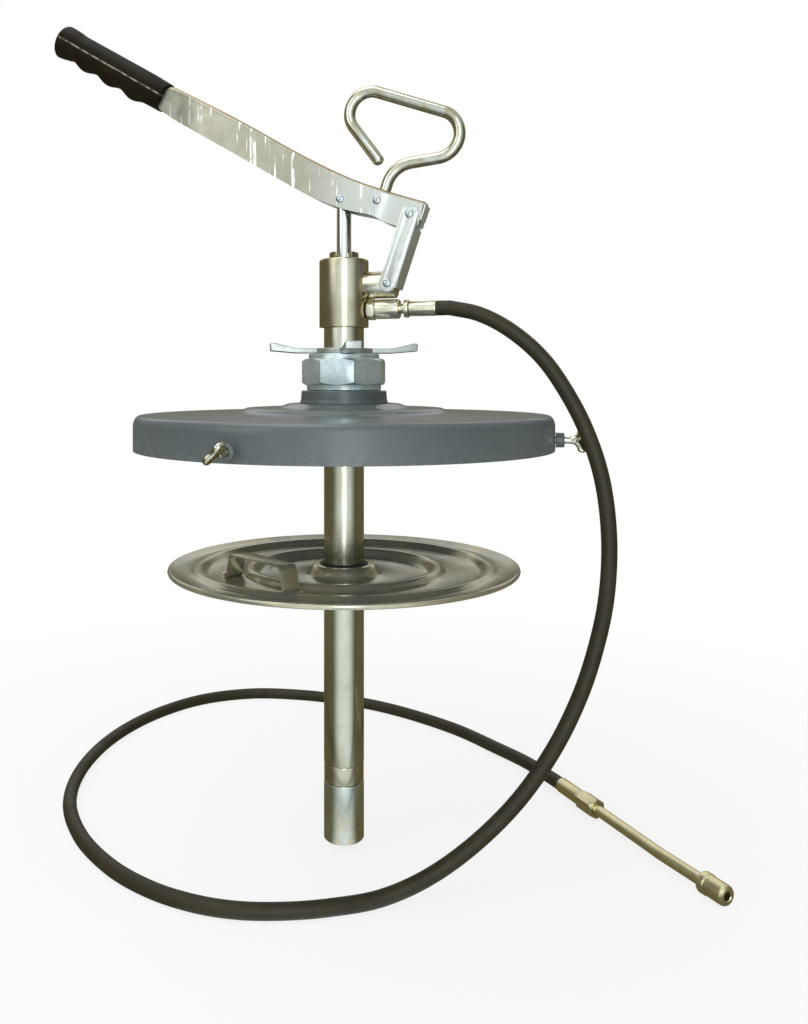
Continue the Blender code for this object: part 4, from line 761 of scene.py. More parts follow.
def metal(name, base, tint, size, amount, rough, stretch, depth, smudge, scratch, metallic=1.0,
          worn_edges=0.5, edge=(1.0, 1.0, 1.0)):
    """A plated or bare metal: cloudy colour, hair lines, smudges and scratches."""
    material, graph, shader = new_material(name)
    colour = graph.group(clouds, Base=base, Tint=tint, Size=size, Amount=amount)["Color"]
    lines = graph.group(hairlines, Stretch=stretch, Depth=depth)
    marks = graph.group(handling, Size=size * 0.6, Smudge=smudge, Scratch=scratch)
    wear = graph.group(edge_wear)["Edge"]
    bright = tuple(min(1.0, c * 1.25 + 0.05) for c in base)
    worn = graph.colour_mix(graph.times(wear, worn_edges), colour, bright)
    graph.feed(shader["Base Color"], graph.colour_mix(marks["Scratches"], worn, bright))
    graph.feed(shader["Metallic"], metallic)
    graph.feed(shader["Specular Tint"], edge)
    level = graph.plus(graph.times(lines["Lines"], 0.10), rough - 0.05)
    roughened(graph, shader, marks, level, 0.16, 0.12)
    graph.feed(shader["Normal"], lines["Normal"])
    return material


FINE = (60.0, 60.0, 60.0)             # even grain; a larger third number draws lines round Z
drawn_steel = metal("drawn_steel", (0.60, 0.60, 0.51), (0.44, 0.42, 0.29), 16.0, 0.65, 0.20,
                    (60.0, 60.0, 2500.0), 0.10, 0.45, 0.35, edge=YELLOWED)
turned_steel = metal("turned_steel", (0.60, 0.58, 0.47), (0.44, 0.40, 0.26), 26.0, 0.70, 0.22,
                     (60.0, 60.0, 3500.0), 0.14, 0.40, 0.30, edge=YELLOWED)
foot_zinc = metal("foot_zinc", (0.60, 0.67, 0.64), (0.56, 0.49, 0.33), 40.0, 0.85, 0.26,
                  (60.0, 60.0, 900.0), 0.10, 0.6, 0.4, edge=YELLOWED)
bright_zinc = metal("bright_zinc", (0.60, 0.63, 0.60), (0.46, 0.48, 0.41), 30.0, 0.60, 0.32,
                    (300.0, 300.0, 300.0), 0.06, 0.5, 0.4, 0.80)
loop_zinc = metal("loop_zinc", (0.62, 0.64, 0.58), (0.43, 0.37, 0.23), 45.0, 0.85, 0.18,
                  FINE, 0.02, 0.5, 0.4, 1.0, worn_edges=0.0, edge=YELLOWED)
blue_zinc = metal("blue_zinc", (0.70, 0.82, 0.86), (0.46, 0.54, 0.53), 45.0, 0.90, 0.28,
                  FINE, 0.02, 0.3, 0.0, 0.66, worn_edges=0.0)
star_zinc = metal("star_zinc", (0.46, 0.50, 0.49), (0.29, 0.30, 0.26), 34.0, 0.80, 0.30,
                  (400.0, 400.0, 400.0), 0.06, 0.6, 0.35, 0.75)
bracket_zinc = metal("bracket_zinc", (0.64, 0.64, 0.57), (0.46, 0.39, 0.24), 40.0, 0.7, 0.24,
                     FINE, 0.05, 0.5, 0.3, 1.0, worn_edges=0.2, edge=YELLOWED)
pin_zinc = metal("pin_zinc", (0.46, 0.54, 0.61), (0.34, 0.37, 0.36), 90.0, 0.6, 0.20,
                 FINE, 0.03, 0.4, 0.2, 1.0, worn_edges=0.0, edge=YELLOWED)
olive_zinc = metal("olive_zinc", (0.88, 0.87, 0.76), (0.68, 0.62, 0.40), 60.0, 0.8, 0.24,
                   (200.0, 200.0, 2500.0), 0.10, 0.5, 0.3, edge=YELLOWED)
laid_zinc = metal("laid_zinc", (0.80, 0.71, 0.43), (0.56, 0.56, 0.43), 60.0, 0.8, 0.30,
                  (200.0, 200.0, 200.0), 0.04, 0.5, 0.3, edge=YELLOWED)
plate_zinc = metal("plate_zinc", (0.58, 0.53, 0.38), (0.36, 0.39, 0.33), 22.0, 0.9, 0.22,
                   FINE, 0.05, 0.6, 0.3, 0.74, worn_edges=0.2)
chrome = metal("hard_chrome", (0.78, 0.79, 0.79), (0.70, 0.71, 0.70), 30.0, 0.3, 0.10,
               (60.0, 60.0, 2500.0), 0.04, 0.3, 0.2)
brass = metal("turned_brass", (0.66, 0.50, 0.24), (0.52, 0.38, 0.18), 40.0, 0.6, 0.25,
              (200.0, 200.0, 2500.0), 0.1, 0.4, 0.2)


# %% The lever's plating
def lever_plating():
    """Streaky zinc: runs across it, a pale end by the link, darker patches by the grip, and a painted tan
    reflection on the faces that look up.
    """
    material, graph, shader = new_material("lever_zinc")
    colour = graph.group(clouds, Base=(0.44, 0.43, 0.355), Tint=(0.33, 0.32, 0.25), Size=30.0,
                         Amount=0.9)["Color"]
    lines = graph.group(hairlines, Stretch=(500.0, 60.0, 60.0), Depth=0.08)
    marks = graph.group(handling, Size=16.0, Smudge=0.6, Scratch=0.6)
    runs = graph.group(zinc_runs)["Runs"]
    where = graph.coordinates()
    x = graph.axes(where)["X"]
    colour = graph.colour_mix(graph.remap(x, -0.040, 0.020, 0.0, 0.8), colour, (0.60, 0.63, 0.60))
    colour = graph.colour_mix(runs, colour, (0.97, 0.98, 0.95))
    # Darker, patchy colour towards the grip end of the lever.
    darker_by_grip = graph.times(graph.remap(x, -0.118, -0.150),
                        graph.remap(graph.noise(where, 45.0, 2.0), 0.36, 0.60, 0.55, 1.0))
    colour = graph.colour_mix(darker_by_grip, colour, (0.13, 0.15, 0.12))
    # Painted reflection: the faces that look up are tinted tan, as if they mirrored the warm room.
    back = graph.remap(graph.axes(graph.coordinates("Normal"))["Z"], 0.25, 0.70)
    graph.feed(shader["Base Color"], graph.colour_mix(back, colour, (0.30, 0.24, 0.13)))
    graph.feed(shader["Metallic"], 0.70)
    roughened(graph, shader, marks, graph.plus(graph.times(lines["Lines"], 0.10), 0.30), 0.16)
    graph.feed(shader["Normal"], lines["Normal"])
    return material


lever_zinc = lever_plating()
print("metals ready")


# %% Paint
def painted():
    """Grey enamel: a little dust and wear, and a wet shine on what faces up."""
    material, graph, shader = new_material("grey_paint")
    colour = graph.group(clouds, Base=(0.086, 0.110, 0.117), Tint=(0.096, 0.113, 0.113), Size=5.0,
                         Amount=0.5)["Color"]
    marks = graph.group(handling, Size=6.0, Smudge=0.12, Scratch=0.06)
    wear = graph.group(edge_wear)["Edge"]
    where = graph.coordinates()
    dust = graph.remap(graph.noise(where, 260.0, 3.0, 0.6), 0.64, 0.74)
    colour = graph.colour_mix(graph.times(wear, 0.15), colour, (0.26, 0.28, 0.28))
    colour = graph.colour_mix(graph.times(dust, 0.05), colour, (0.34, 0.34, 0.32))
    graph.feed(shader["Base Color"], graph.colour_mix(marks["Scratches"], colour, (0.30, 0.32, 0.32)))
    roughened(graph, shader, marks, graph.plus(graph.times(dust, 0.05), 0.36), 0.14)
    up = graph.axes(graph.coordinates("Normal"))["Z"]
    graph.feed(shader["Coat Weight"], graph.remap(up, 0.55, 0.95, 0.04, 0.5))
    graph.feed(shader["Coat Roughness"], 0.07)
    graph.feed(shader["Normal"], graph.bump(graph.noise(where, 420.0, 2.0), 0.06, 0.0002))
    return material


grey_paint = painted()
print("paint ready")


# %% Rubber and moulded plastic
def black(name, base, tint, rough, grain, depth, shine=0.28, seam_highlight=None):
    """Rubber or plastic. A seam highlight is an axis and an offset: a pale line where the mould met, a
    real seam with a painted highlight along its ridge.
    """
    material, graph, shader = new_material(name)
    colour = graph.group(clouds, Base=base, Tint=tint, Size=25.0, Amount=0.8)["Color"]
    marks = graph.group(handling, Size=35.0, Smudge=0.7, Scratch=0.25)
    where = graph.coordinates()
    colour = graph.colour_mix(marks["Scratches"], colour, tuple(c * 3 + 0.03 for c in base))
    if seam_highlight:
        axis, offset = seam_highlight
        # Painted highlight: a pale broken line along both sides, where the mould's seam ridge is.
        off = graph.math("ABSOLUTE", graph.math("SUBTRACT", graph.dot(where, axis), offset))
        dashes = graph.remap(graph.noise(where, 160.0, 2.0), 0.40, 0.55, 0.2, 1.0)
        colour = graph.colour_mix(graph.times(graph.remap(off, 0.0009, 0.0003), dashes), colour,
                                  (0.30, 0.29, 0.23))
    graph.feed(shader["Base Color"], colour)
    roughened(graph, shader, marks, rough, 0.15)
    graph.feed(shader["Specular IOR Level"], shine)
    graph.feed(shader["Normal"], graph.bump(graph.noise(where, grain, 3.0), depth, 0.0002))
    return material


GRIP_START, GRIP_TILT = (-0.1622, 0.2782), 0.5440
seam_highlight_axis = (math.sin(GRIP_TILT), 0.0, math.cos(GRIP_TILT))
seam_highlight_offset = seam_highlight_axis[0] * GRIP_START[0] + seam_highlight_axis[2] * GRIP_START[1]
hose_rubber = black("hose_rubber", (0.026, 0.021, 0.010), (0.040, 0.034, 0.016), 0.46, 900.0, 0.10)
grip_plastic = black("grip_plastic", (0.010, 0.007, 0.004), (0.017, 0.013, 0.006), 0.40, 1200.0, 0.08,
                     0.06, (seam_highlight_axis, seam_highlight_offset))
seal_rubber = black("seal_rubber", (0.020, 0.019, 0.017), (0.028, 0.026, 0.022), 0.55, 900.0, 0.10)
hose_curve.materials.append(hose_rubber)
print("blacks ready")

# %% [markdown]
# ## The lid
# The lid is one deep pressing: a skirt that goes over the pail's rim, a nearly flat top with
# two soft steps that stiffen it, and a raised seat in the middle. Its line is drawn once from
# the neck outwards, thickened to a sheet, and spun. The skirt's lower edge is left square.

# %% Lid
LID_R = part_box("lid_cover")[1][0]
skirt_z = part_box("lid_skirt")[0][2]
SHEET = 0.0015
PANEL_Z = 0.0038
RIB_Z = 0.0092
HUB_Z = 0.0130
CORNER, SHOULDER = 0.005, 0.0085      # the rounded shoulder is wider than it is deep
HUB_R, RIB_R, STEP_WIDE = 0.047, 0.0835, 0.0075
NECK_BORE = 0.0273
line = [(NECK_BORE + 0.0012, HUB_Z)]
line += step((HUB_R - STEP_WIDE / 2, HUB_Z), (HUB_R + STEP_WIDE * 1.4, RIB_Z))
line += step((RIB_R - STEP_WIDE / 2, RIB_Z), (RIB_R + STEP_WIDE / 2, PANEL_Z + 0.0020))
for i in range(13):
    t = math.pi / 2 * (1 - i / 12)
    line.append((LID_R - CORNER + CORNER * math.cos(t), PANEL_Z - SHOULDER + SHOULDER * math.sin(t)))
line += [(LID_R, skirt_z)]
pressing = turned_mesh("lid_pressing", sheet_profile(line, SHEET), 180, loop=True, sharp=40)
piece("lid_pressing", pressing, "lid", grey_paint, ("lid_cover", "lid_skirt"))
dress(seal_rubber, "rim_gasket")
print("lid", round(2 * LID_R, 3), "m across")

# %% Neck on the lid
neck_low, neck_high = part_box("neck_socket")
NECK_R = 0.035
neck = fillet([(NECK_R - 0.0045, neck_high[2]), (NECK_R, neck_high[2], 0.0012),
               (NECK_R + 0.0004, neck_low[2] + 0.0030, 0.002), (NECK_R + 0.0013, neck_low[2])])
neck += [(NECK_BORE, neck_low[2]), (NECK_BORE, neck_high[2])]
turned_piece("lid_neck", neck, "lid", grey_paint, ("neck_socket",))
print("neck top at", round(neck_high[2], 4))

# %% [markdown]
# ## Clamping screws
# Three thumb screws go through welded bosses in the skirt and press small pads against the
# pail. A wing is two flat round lobes on a short hub. Each is made lying along Z and turned
# into place.

# %% Screw bosses and thumb screws
SCREW_ANGLES = (-1.728, 0.087, 2.320)
SCREW_Z = -0.0152
BOSS_R, BOSS_LONG, SCREW_R, REACH = 0.0058, 0.0068, 0.0028, 0.0135
WING_LONG, WING_SPAN, LOBE_R, WING_T = 0.0117, 0.0196, 0.0046, 0.0042
WING_TURNS = (-0.80, -0.30, 0.20)
GAP = 0.0003
for number, (angle, turn) in enumerate(zip(SCREW_ANGLES, WING_TURNS), 1):
    out = Matrix.Translation((0, 0, SCREW_Z)) @ Matrix.Rotation(angle, 4, "Z") @ ALONG_X
    start = LID_R + GAP
    end = start + BOSS_LONG
    shape = fillet([(SCREW_R + GAP, end), (BOSS_R, end, 0.0018), (BOSS_R, start + 0.0010, 0.0006),
                    (BOSS_R + 0.0005, start)], 5) + [(SCREW_R + GAP, start)]
    turned_piece(f"boss_{number}", shape, "lid", grey_paint, (f"screw_boss_{number}",),
                 out, 48)
    wing_in = LID_R + REACH
    wing_out = wing_in + WING_LONG
    pad_out = LID_R - 0.0055
    inner = pad_out - 0.0018
    screw = turned_mesh("screw", fillet([
        (0, wing_in + 0.0062), (0.0016, wing_in + 0.0058, 0.0008), (0.0036, wing_in + 0.0020, 0.0012),
        (SCREW_R + 0.0002, wing_in - 0.0006, 0.0006), (SCREW_R, wing_in - 0.0014, 0.0003),
        (SCREW_R, pad_out + GAP, 0.0003), (SCREW_R * 0.6, pad_out + GAP),
        (SCREW_R * 0.6, inner), (0, inner)]), 48)
    right = arc((WING_SPAN / 2 - LOBE_R, wing_out - LOBE_R), LOBE_R, -0.9, 2.0, 18)
    waist = [(0.0030, wing_in), (0.0037, wing_in + 0.0014), (0.0052, wing_in + 0.0028)]
    half = waist + right + [(0.0019, wing_out - 0.0009)]
    outline = half + [(0, wing_out - 0.0013)] + [(-x, y) for x, y in reversed(half)]
    wing = bevelled(plate_mesh("wing", outline, WING_T), 0.0017, 4)
    wing = moved(wing, Matrix.Rotation(turn, 4, "Z"))
    screw = combine(screw, [wing], "UNION")
    piece(f"wing_screw_{number}", screw, f"screw_{number}", loop_zinc,
          (f"thumb_screw_{number}",), out)
    dress(bright_zinc, f"thumb_pad_{number}")
print("three thumb screws at", [round(math.degrees(a)) for a in SCREW_ANGLES], "degrees")

# %% [markdown]
# ## Clamp on the neck
# An octagonal adapter screws into the lid's neck and holds the tube by a seal that the star
# nut squeezes. The octagon is a prism whose corners were turned off in the lathe: crossing it
# with a turned barrel leaves the curved chamfer on every flat, as the real cut does.

# %% Octagonal adapter
adapter_low, adapter_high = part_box("octagon_adapter")
FLANGE_Z, OCT_Z, COLLAR_Z = 0.0236, 0.0280, 0.0492
COLLAR_TOP = adapter_high[2]
OCT_R, OCT_CHAMFER, OCT_TURN = 0.0352, 0.0030, 0.5150
FLANGE_R, COLLAR_R, STEM_R = 0.0306, 0.0290, 0.0270
BORE_R, SEAL_R, SEAL_FLOOR = 0.0168, 0.0222, COLLAR_TOP - 0.0205
flats = 2 * OCT_R * math.cos(math.pi / 8)
octagon = prism_mesh("octagon", polygon(flats, 8, OCT_TURN), OCT_Z - 0.001, COLLAR_Z + 0.001)
barrel = turned_mesh("barrel", [
    (0, COLLAR_Z), (OCT_R - OCT_CHAMFER, COLLAR_Z), (OCT_R + 0.0002, COLLAR_Z - OCT_CHAMFER * 0.75),
    (OCT_R + 0.0002, OCT_Z + OCT_CHAMFER * 0.75), (OCT_R - OCT_CHAMFER, OCT_Z), (0, OCT_Z)], 160)
octagon = combine(octagon, [barrel], "INTERSECT", 20)
core = turned_mesh("core", fillet([
    (0, COLLAR_TOP), (COLLAR_R, COLLAR_TOP, 0.0009), (COLLAR_R, COLLAR_Z - 0.002),
    (COLLAR_R, OCT_Z + 0.002), (FLANGE_R, OCT_Z + 0.002), (FLANGE_R, FLANGE_Z, 0.0007),
    (STEM_R, FLANGE_Z), (STEM_R, adapter_low[2]), (0, adapter_low[2])]), 128)
bore = turned_mesh("bore", [
    (0, COLLAR_TOP + 0.01), (SEAL_R, COLLAR_TOP + 0.01), (SEAL_R, SEAL_FLOOR), (BORE_R, SEAL_FLOOR),
    (BORE_R, adapter_low[2] - 0.01), (0, adapter_low[2] - 0.01)], 96)
adapter = combine(core, [octagon], "UNION", 20)
adapter = combine(adapter, [bore], "DIFFERENCE", 20)
adapter = bevelled(adapter, 0.00035, 2, 22, 24)
piece("octagon_clamp", adapter, "lid", blue_zinc, ("octagon_adapter",))
dress(seal_rubber, "clamp_seal")
dress(brass, "pressure_ring")
print("octagon", round(flats, 4), "m across flats")

# %% Star nut
star_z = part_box("star_nut")[0][2]
STAR_Z = COLLAR_TOP + GAP
STAR_T, STAR_REACH, STAR_WIDE, STAR_RISE, STAR_TURN = 0.0045, 0.0606, 0.0130, 0.0040, 0.4190
hub = turned_mesh("hub", fillet([
    (BORE_R, STAR_Z + STAR_T), (0.0240, STAR_Z + STAR_T, 0.0012), (0.0240, STAR_Z),
    (SEAL_R - GAP, STAR_Z), (SEAL_R - GAP, star_z), (BORE_R, star_z)]), 96, loop=True)
bend = STAR_REACH * 0.66
tip = STAR_Z + STAR_RISE * 0.5
side_line = fillet([
    (0.0195, STAR_Z + 0.0002), (bend, STAR_Z + 0.0002, 0.012), (STAR_REACH, tip, 0.0010),
    (STAR_REACH + 0.0003, STAR_Z + STAR_T + STAR_RISE, 0.0014),
    (STAR_REACH - 0.003, STAR_Z + STAR_T + STAR_RISE, 0.0012), (bend, STAR_Z + STAR_T - 0.0002, 0.012),
    (0.0195, STAR_Z + STAR_T - 0.0002)], 5)
arms = []
for number in range(4):
    arm = bevelled(plate_mesh("arm", side_line, STAR_WIDE), 0.0017, 4, 40)
    arms.append(moved(arm, Matrix.Rotation(STAR_TURN + number * math.tau / 4, 4, "Z")))
star = combine(hub, arms, "UNION", 34)
piece("star_handle", star, "star_nut", star_zinc, ("star_nut",))
print("star nut reaches", STAR_REACH)

# %% [markdown]
# ## Pump tube, foot and head
# The barrel is drawn steel tube with a head turned from bar on top and a foot shrunk on
# below. All of them are long, smooth and round, so nearly everything they show is the studio
# around them: the sharper the lathe profile, the truer the thin bright lines at its edges.

# %% Tube, band and foot
TUBE_R, TUBE_BORE = 0.0165, 0.0145
tube_low, tube_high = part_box("pump_tube")
band_low, band_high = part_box("foot_band")
foot_low, foot_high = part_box("pump_foot")


for name, node, outer, (low, high), edge, finish in (
        ("barrel_tube", "pump_tube", TUBE_R, (tube_low[2], tube_high[2]), 0.0003, drawn_steel),
        ("foot_ring", "foot_band", TUBE_R - 0.0002, (band_low[2], band_high[2]), 0.0008, turned_steel)):
    shape = fillet([(TUBE_BORE, high), (outer, high, edge), (outer, low, edge), (TUBE_BORE, low)])
    turned_piece(name, shape, "pump", finish, (node,), sides=128)
FOOT_LEDGE_Z = foot_low[2] + 0.0120
foot = fillet([
    (TUBE_BORE, foot_high[2]), (TUBE_R, foot_high[2], 0.0006), (TUBE_R, foot_low[2] + 0.0010, 0.0004),
    (TUBE_R - 0.0010, foot_low[2], 0.0003), (TUBE_BORE - 0.0030, foot_low[2]),
    (TUBE_BORE - 0.0030, FOOT_LEDGE_Z), (TUBE_BORE, FOOT_LEDGE_Z)])
turned_piece("tube_foot", foot, "pump", foot_zinc, ("pump_foot",), sides=128)
dress(brass, "foot_valve_seat", "foot_valve_cage", "piston")
dress(chrome, "foot_valve_ball", "piston_ball")
dress(seal_rubber, "cup_seal_1", "cup_seal_2", "rod_packing")
print("tube", round(tube_high[2] - foot_low[2], 3), "m long with its foot")

# %% Head and gland nut
head_low, head_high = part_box("pump_head")
HEAD_R = 0.0203
GLAND_R, ROD_HOLE = 0.0120, 0.0063
socket_top = head_low[2] + 0.0062
packing_floor = head_high[2] - 0.0145
neck_low_z = packing_floor - 0.004
head = fillet([
    (GLAND_R + GAP, head_high[2]), (HEAD_R, head_high[2], 0.0022), (HEAD_R, head_low[2], 0.0006),
    (TUBE_R + GAP, head_low[2])], 8)
head += [(TUBE_R + GAP, socket_top), (TUBE_BORE - 0.0005, socket_top), (TUBE_BORE - 0.0005, neck_low_z),
         (ROD_HOLE, neck_low_z), (ROD_HOLE, packing_floor), (GLAND_R + GAP, packing_floor)]
turned_piece("head_barrel", head, "pump", turned_steel, ("pump_head",), sides=144)
gland_low, gland_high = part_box("gland_nut")
gland = turned_mesh("gland", fillet([
    (ROD_HOLE, gland_high[2]), (GLAND_R, gland_high[2], 0.0008), (GLAND_R, gland_low[2]),
    (ROD_HOLE, gland_low[2])]), 96, loop=True)
slot_z = head_high[2] + 0.0002
SLOT_HALF = 0.0061
slot_tool = prism_mesh("slot", rectangle(-SLOT_HALF, SLOT_HALF, 0.02), slot_z, slot_z + 0.02)
gland = combine(gland, [moved(slot_tool, Matrix.Rotation(0.29, 4, "Z"))])
piece("gland_ring", bevelled(gland, 0.0003, 2), "pump", turned_steel, ("gland_nut",))
print("head", round(head_high[2] - head_low[2], 4), "m tall")

# %% Piston rod and its pin
rod_low, rod_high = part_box("piston_rod")
ROD_R, PIN_R = 0.0060, 0.0025
ROD_PIN, LOOP_RIVET = (0.0, 0.1793), (0.0310, 0.1765)
LINK_TOP, LINK_FOOT = (0.0577, 0.1641), (0.0394, 0.1094)
rod = turned_mesh("rod", fillet([(0, rod_high[2]), (ROD_R, rod_high[2], 0.0012), (ROD_R, rod_low[2]),
                                 (0, rod_low[2])]), 72)
rod = combine(rod, [drill(ROD_PIN, PIN_R + GAP)])
piece("rod", rod, "rod", chrome, ("piston_rod",))


def cross_pin(name, at, half, body, node):
    """A riveted pin with a low domed head at each end."""
    rise = 0.0011
    top = [(0, half + rise), (0.0012, half + rise * 0.97), (0.0022, half + rise * 0.80),
           (0.0029, half + rise * 0.52), (0.0033, half + rise * 0.12), (0.0033, half + GAP * 0.5),
           (PIN_R, half + GAP * 0.5)]
    shape = top + [(r, -z) for r, z in reversed(top)]
    piece(name, turned_mesh(name, shape, 40), body, pin_zinc, (node,),
          Matrix.Translation((at[0], 0, at[1])) @ ALONG_Y)


LEVER_HALF, END_HALF = 0.0120, 0.0100
LINK_INNER = END_HALF + GAP
LINK_OUTER = LINK_INNER + 0.0020
for each in (("rod_pin", ROD_PIN, LEVER_HALF, "rod", "lever_pin"),
             ("loop_pin", LOOP_RIVET, LEVER_HALF, "lever", "loop_rivet"),
             ("link_pin_high", LINK_TOP, LINK_OUTER, "link", "link_top_pin"),
             ("link_pin_low", LINK_FOOT, LINK_OUTER, "pump", "link_foot_pin")):
    cross_pin(*each)
print("rod top at", round(rod_high[2], 4))

# %% [markdown]
# ## Lever
# The lever is folded from sheet steel into a channel that is open below. It narrows where the
# link's cheeks straddle it, and its mouth is squeezed onto the grip's core. It is lofted
# through a row of stations, each with the top and bottom of the near wall and the half width;
# the chain of stations is smoothed first, since folded sheet has no kinks.

# %% Lever
GRIP_LONG = 0.1220
CORE_HALF, GRIP_CAP = 0.0080, 0.0040


def grip_axis(distance, rise=0.0):
    along = (-math.cos(GRIP_TILT), math.sin(GRIP_TILT))
    up = (math.sin(GRIP_TILT), math.cos(GRIP_TILT))
    return (GRIP_START[0] + along[0] * distance + up[0] * rise,
            GRIP_START[1] + along[1] * distance + up[1] * rise)


def cut_corners(rows, times):
    """Chaikin's scheme: every kink in a chain of rows becomes a small curve."""
    for _ in range(times):
        out = [rows[0]]
        for a, b in zip(rows, rows[1:]):
            out.append([x * 0.80 + y * 0.20 for x, y in zip(a, b)])
            out.append([x * 0.20 + y * 0.80 for x, y in zip(a, b)])
        out.append(rows[-1])
        rows = out
    return rows


core_end = GRIP_LONG - GRIP_CAP - GAP
mouth = 0.0040
pin_x, pin_z = LINK_TOP
stations = [
    (*grip_axis(-GAP, CORE_HALF), *grip_axis(-GAP, -CORE_HALF), CORE_HALF),
    (*grip_axis(-mouth, LEVER_HALF - 0.0004), *grip_axis(-mouth, 0.0008 - LEVER_HALF),
     LEVER_HALF - 0.0008),
    (*grip_axis(-2 * LEVER_HALF, 0.0126), *grip_axis(-2 * LEVER_HALF, -0.0126), LEVER_HALF),
    (-0.0900, 0.2519, -0.1036, 0.2290, LEVER_HALF),
    (-0.0388, 0.2209, -0.0525, 0.1982, LEVER_HALF),
    (-0.0057, 0.2028, -0.0180, 0.1790, LEVER_HALF),
    (0.0155, 0.1928, 0.0061, 0.1696, LEVER_HALF),
    (0.0345, 0.1858, 0.0268, 0.1650, LEVER_HALF),
    (0.0435, 0.1826, 0.0368, 0.1588, END_HALF),
    (pin_x + 0.0020, pin_z + 0.0130, pin_x - 0.0040, pin_z - 0.0112, END_HALF),
    (pin_x + 0.0115, pin_z + 0.0100, pin_x + 0.0068, pin_z - 0.0088, END_HALF),
]
core = [(*grip_axis(core_end, CORE_HALF), *grip_axis(core_end, -CORE_HALF), CORE_HALF)]
smooth_stations = core + cut_corners([list(s) for s in stations], 3)


def channel_rows(stations, corner, sheet, bend_steps=6):
    """Closed sections of a channel: its outside from wall to wall, then its inside back."""
    rows = []
    turns = [math.pi / 2 * k / bend_steps for k in range(bend_steps + 1)]
    for tx, tz, bx, bz, half in stations:
        top, bottom = Vector((tx, tz)), Vector((bx, bz))
        down = (bottom - top).normalized()
        depth = (bottom - top).length
        outside, inside = (
            [(wall, depth), *((wall - bend * (1 - math.cos(a)), under + bend * (1 - math.sin(a)))
                              for a in turns)]
            for wall, bend, under in ((half, corner, 0.0), (half - sheet, corner - sheet * 0.7, sheet)))
        flat = [(-y, d) for y, d in outside] + [(y, d) for y, d in reversed(outside)]
        flat += [(y, d) for y, d in inside] + [(-y, d) for y, d in reversed(inside)]
        rows.append([(top.x + down.x * d, y, top.y + down.y * d) for y, d in flat])
    return rows


LEVER_CORNER, LEVER_SHEET = 0.0040, 0.0020
channel = loft_mesh("channel", channel_rows(smooth_stations, LEVER_CORNER, LEVER_SHEET), sharp=30)
tx, tz, bx, bz, half = stations[-1]
lip_low = (bx + 0.0005, bz + 0.0040)
lip = plate_mesh("lip", [
    (tx - 0.0012, tz - 0.0006), (tx + 0.0016, tz - 0.0030), (lip_low[0] + 0.0016, lip_low[1]),
    (lip_low[0] - 0.0006, lip_low[1] - 0.0002), (tx - 0.0008, tz - 0.0040)],
    2 * (half - LEVER_CORNER * 0.4))
channel = combine(channel, [bevelled(lip, 0.0006, 2)], "UNION", 30)
BAR_R, BAR_START, BAR_HEADING = 0.0048, (0.0300, 0.1710), 1.256
bar_place = (Matrix.Translation((BAR_START[0], 0, BAR_START[1]))
             @ Matrix.Rotation(math.pi / 2 - BAR_HEADING, 4, "Y"))
bar_hole = moved(cylinder("bar_hole", BAR_R + GAP, 0, 0.03, 40), bar_place)
channel = combine(channel, [drill(ROD_PIN, PIN_R + GAP), drill(LOOP_RIVET, PIN_R + GAP),
                            drill(LINK_TOP, PIN_R + GAP + 0.0024), bar_hole], "DIFFERENCE", 30)
piece("folded_lever", channel, "lever", lever_zinc, ("lever_channel",))
print("lever from", len(smooth_stations), "sections")

# %% [markdown]
# ## Grip
# The grip is a moulded sleeve: nearly round, with three finger ridges underneath, a slight
# flare at its closed end, and a fine parting line along each side where the mould met. It is
# lofted from round sections whose lower half swells at each ridge.

# %% Grip
GRIP_R, RIDGE, RIDGE_PITCH, RIDGES = 0.0135, 0.0032, 0.0280, 3
rows = []
GRIP_RINGS, GRIP_SIDES = 150, 64
for i in range(GRIP_RINGS + 1):
    s = GRIP_LONG * i / GRIP_RINGS
    body = GRIP_R - 0.0008 * max(0.0, 1 - s / 0.020) - 0.0012 * s / GRIP_LONG
    flare = max(0.0, (s - GRIP_LONG + 0.022) / 0.022)
    body += 0.0012 * math.sin(flare * math.pi * 0.75)
    mouth_round = max(0.0, 1 - s / 0.0012)
    body -= 0.0010 * (1 - math.sqrt(max(0.0, 1 - mouth_round ** 2)))
    cap = max(0.0, (s - GRIP_LONG + 0.004) / 0.004)
    body *= math.sqrt(max(0.0, 1 - 0.62 * cap ** 2.2))
    phase = (s - 0.018) / RIDGE_PITCH
    ridge = 0.0
    if 0 < phase < RIDGES:
        ridge = RIDGE * (1 - math.cos(math.tau * phase)) / 2
    elif phase >= RIDGES:
        ridge = RIDGE * 0.9 * (1 - cap) * min(1.0, (phase - RIDGES) * 1.6)
    row = []
    for k in range(GRIP_SIDES):
        angle = math.tau * k / GRIP_SIDES
        below = max(0.0, -math.sin(angle))
        radius = body + ridge * below ** 1.5
        parting = max(abs(abs(math.cos(angle)) - 1) * -40 + 1, 0.0)
        radius += 0.00018 * parting * (1 - cap)
        x, z = grip_axis(s, radius * math.sin(angle))
        row.append((x, radius * 0.97 * math.cos(angle), z))
    rows.append(row)
grip = loft_mesh("grip_sleeve", rows, sharp=50)
gap = CORE_HALF + GAP
bore_tool = []
for s in (-0.02, GRIP_LONG - GRIP_CAP):
    corners = [(y, grip_axis(s, r)) for y, r in ((-gap, -gap), (gap, -gap), (gap, gap), (-gap, gap))]
    bore_tool.append([(x, y, z) for y, (x, z) in corners])
grip = combine(grip, [loft_mesh("grip_bore", bore_tool)], sharp=50)
piece("grip_sleeve", grip, "lever", grip_plastic, ("grip",))
print("grip", GRIP_LONG, "m long")

# %% [markdown]
# ## Carrying loop
# A round bar is bent into a nearly closed hook that the pump is carried by. It is swept along
# its centre line, which is laid out as a bender would: straight, bend, straight, bend.

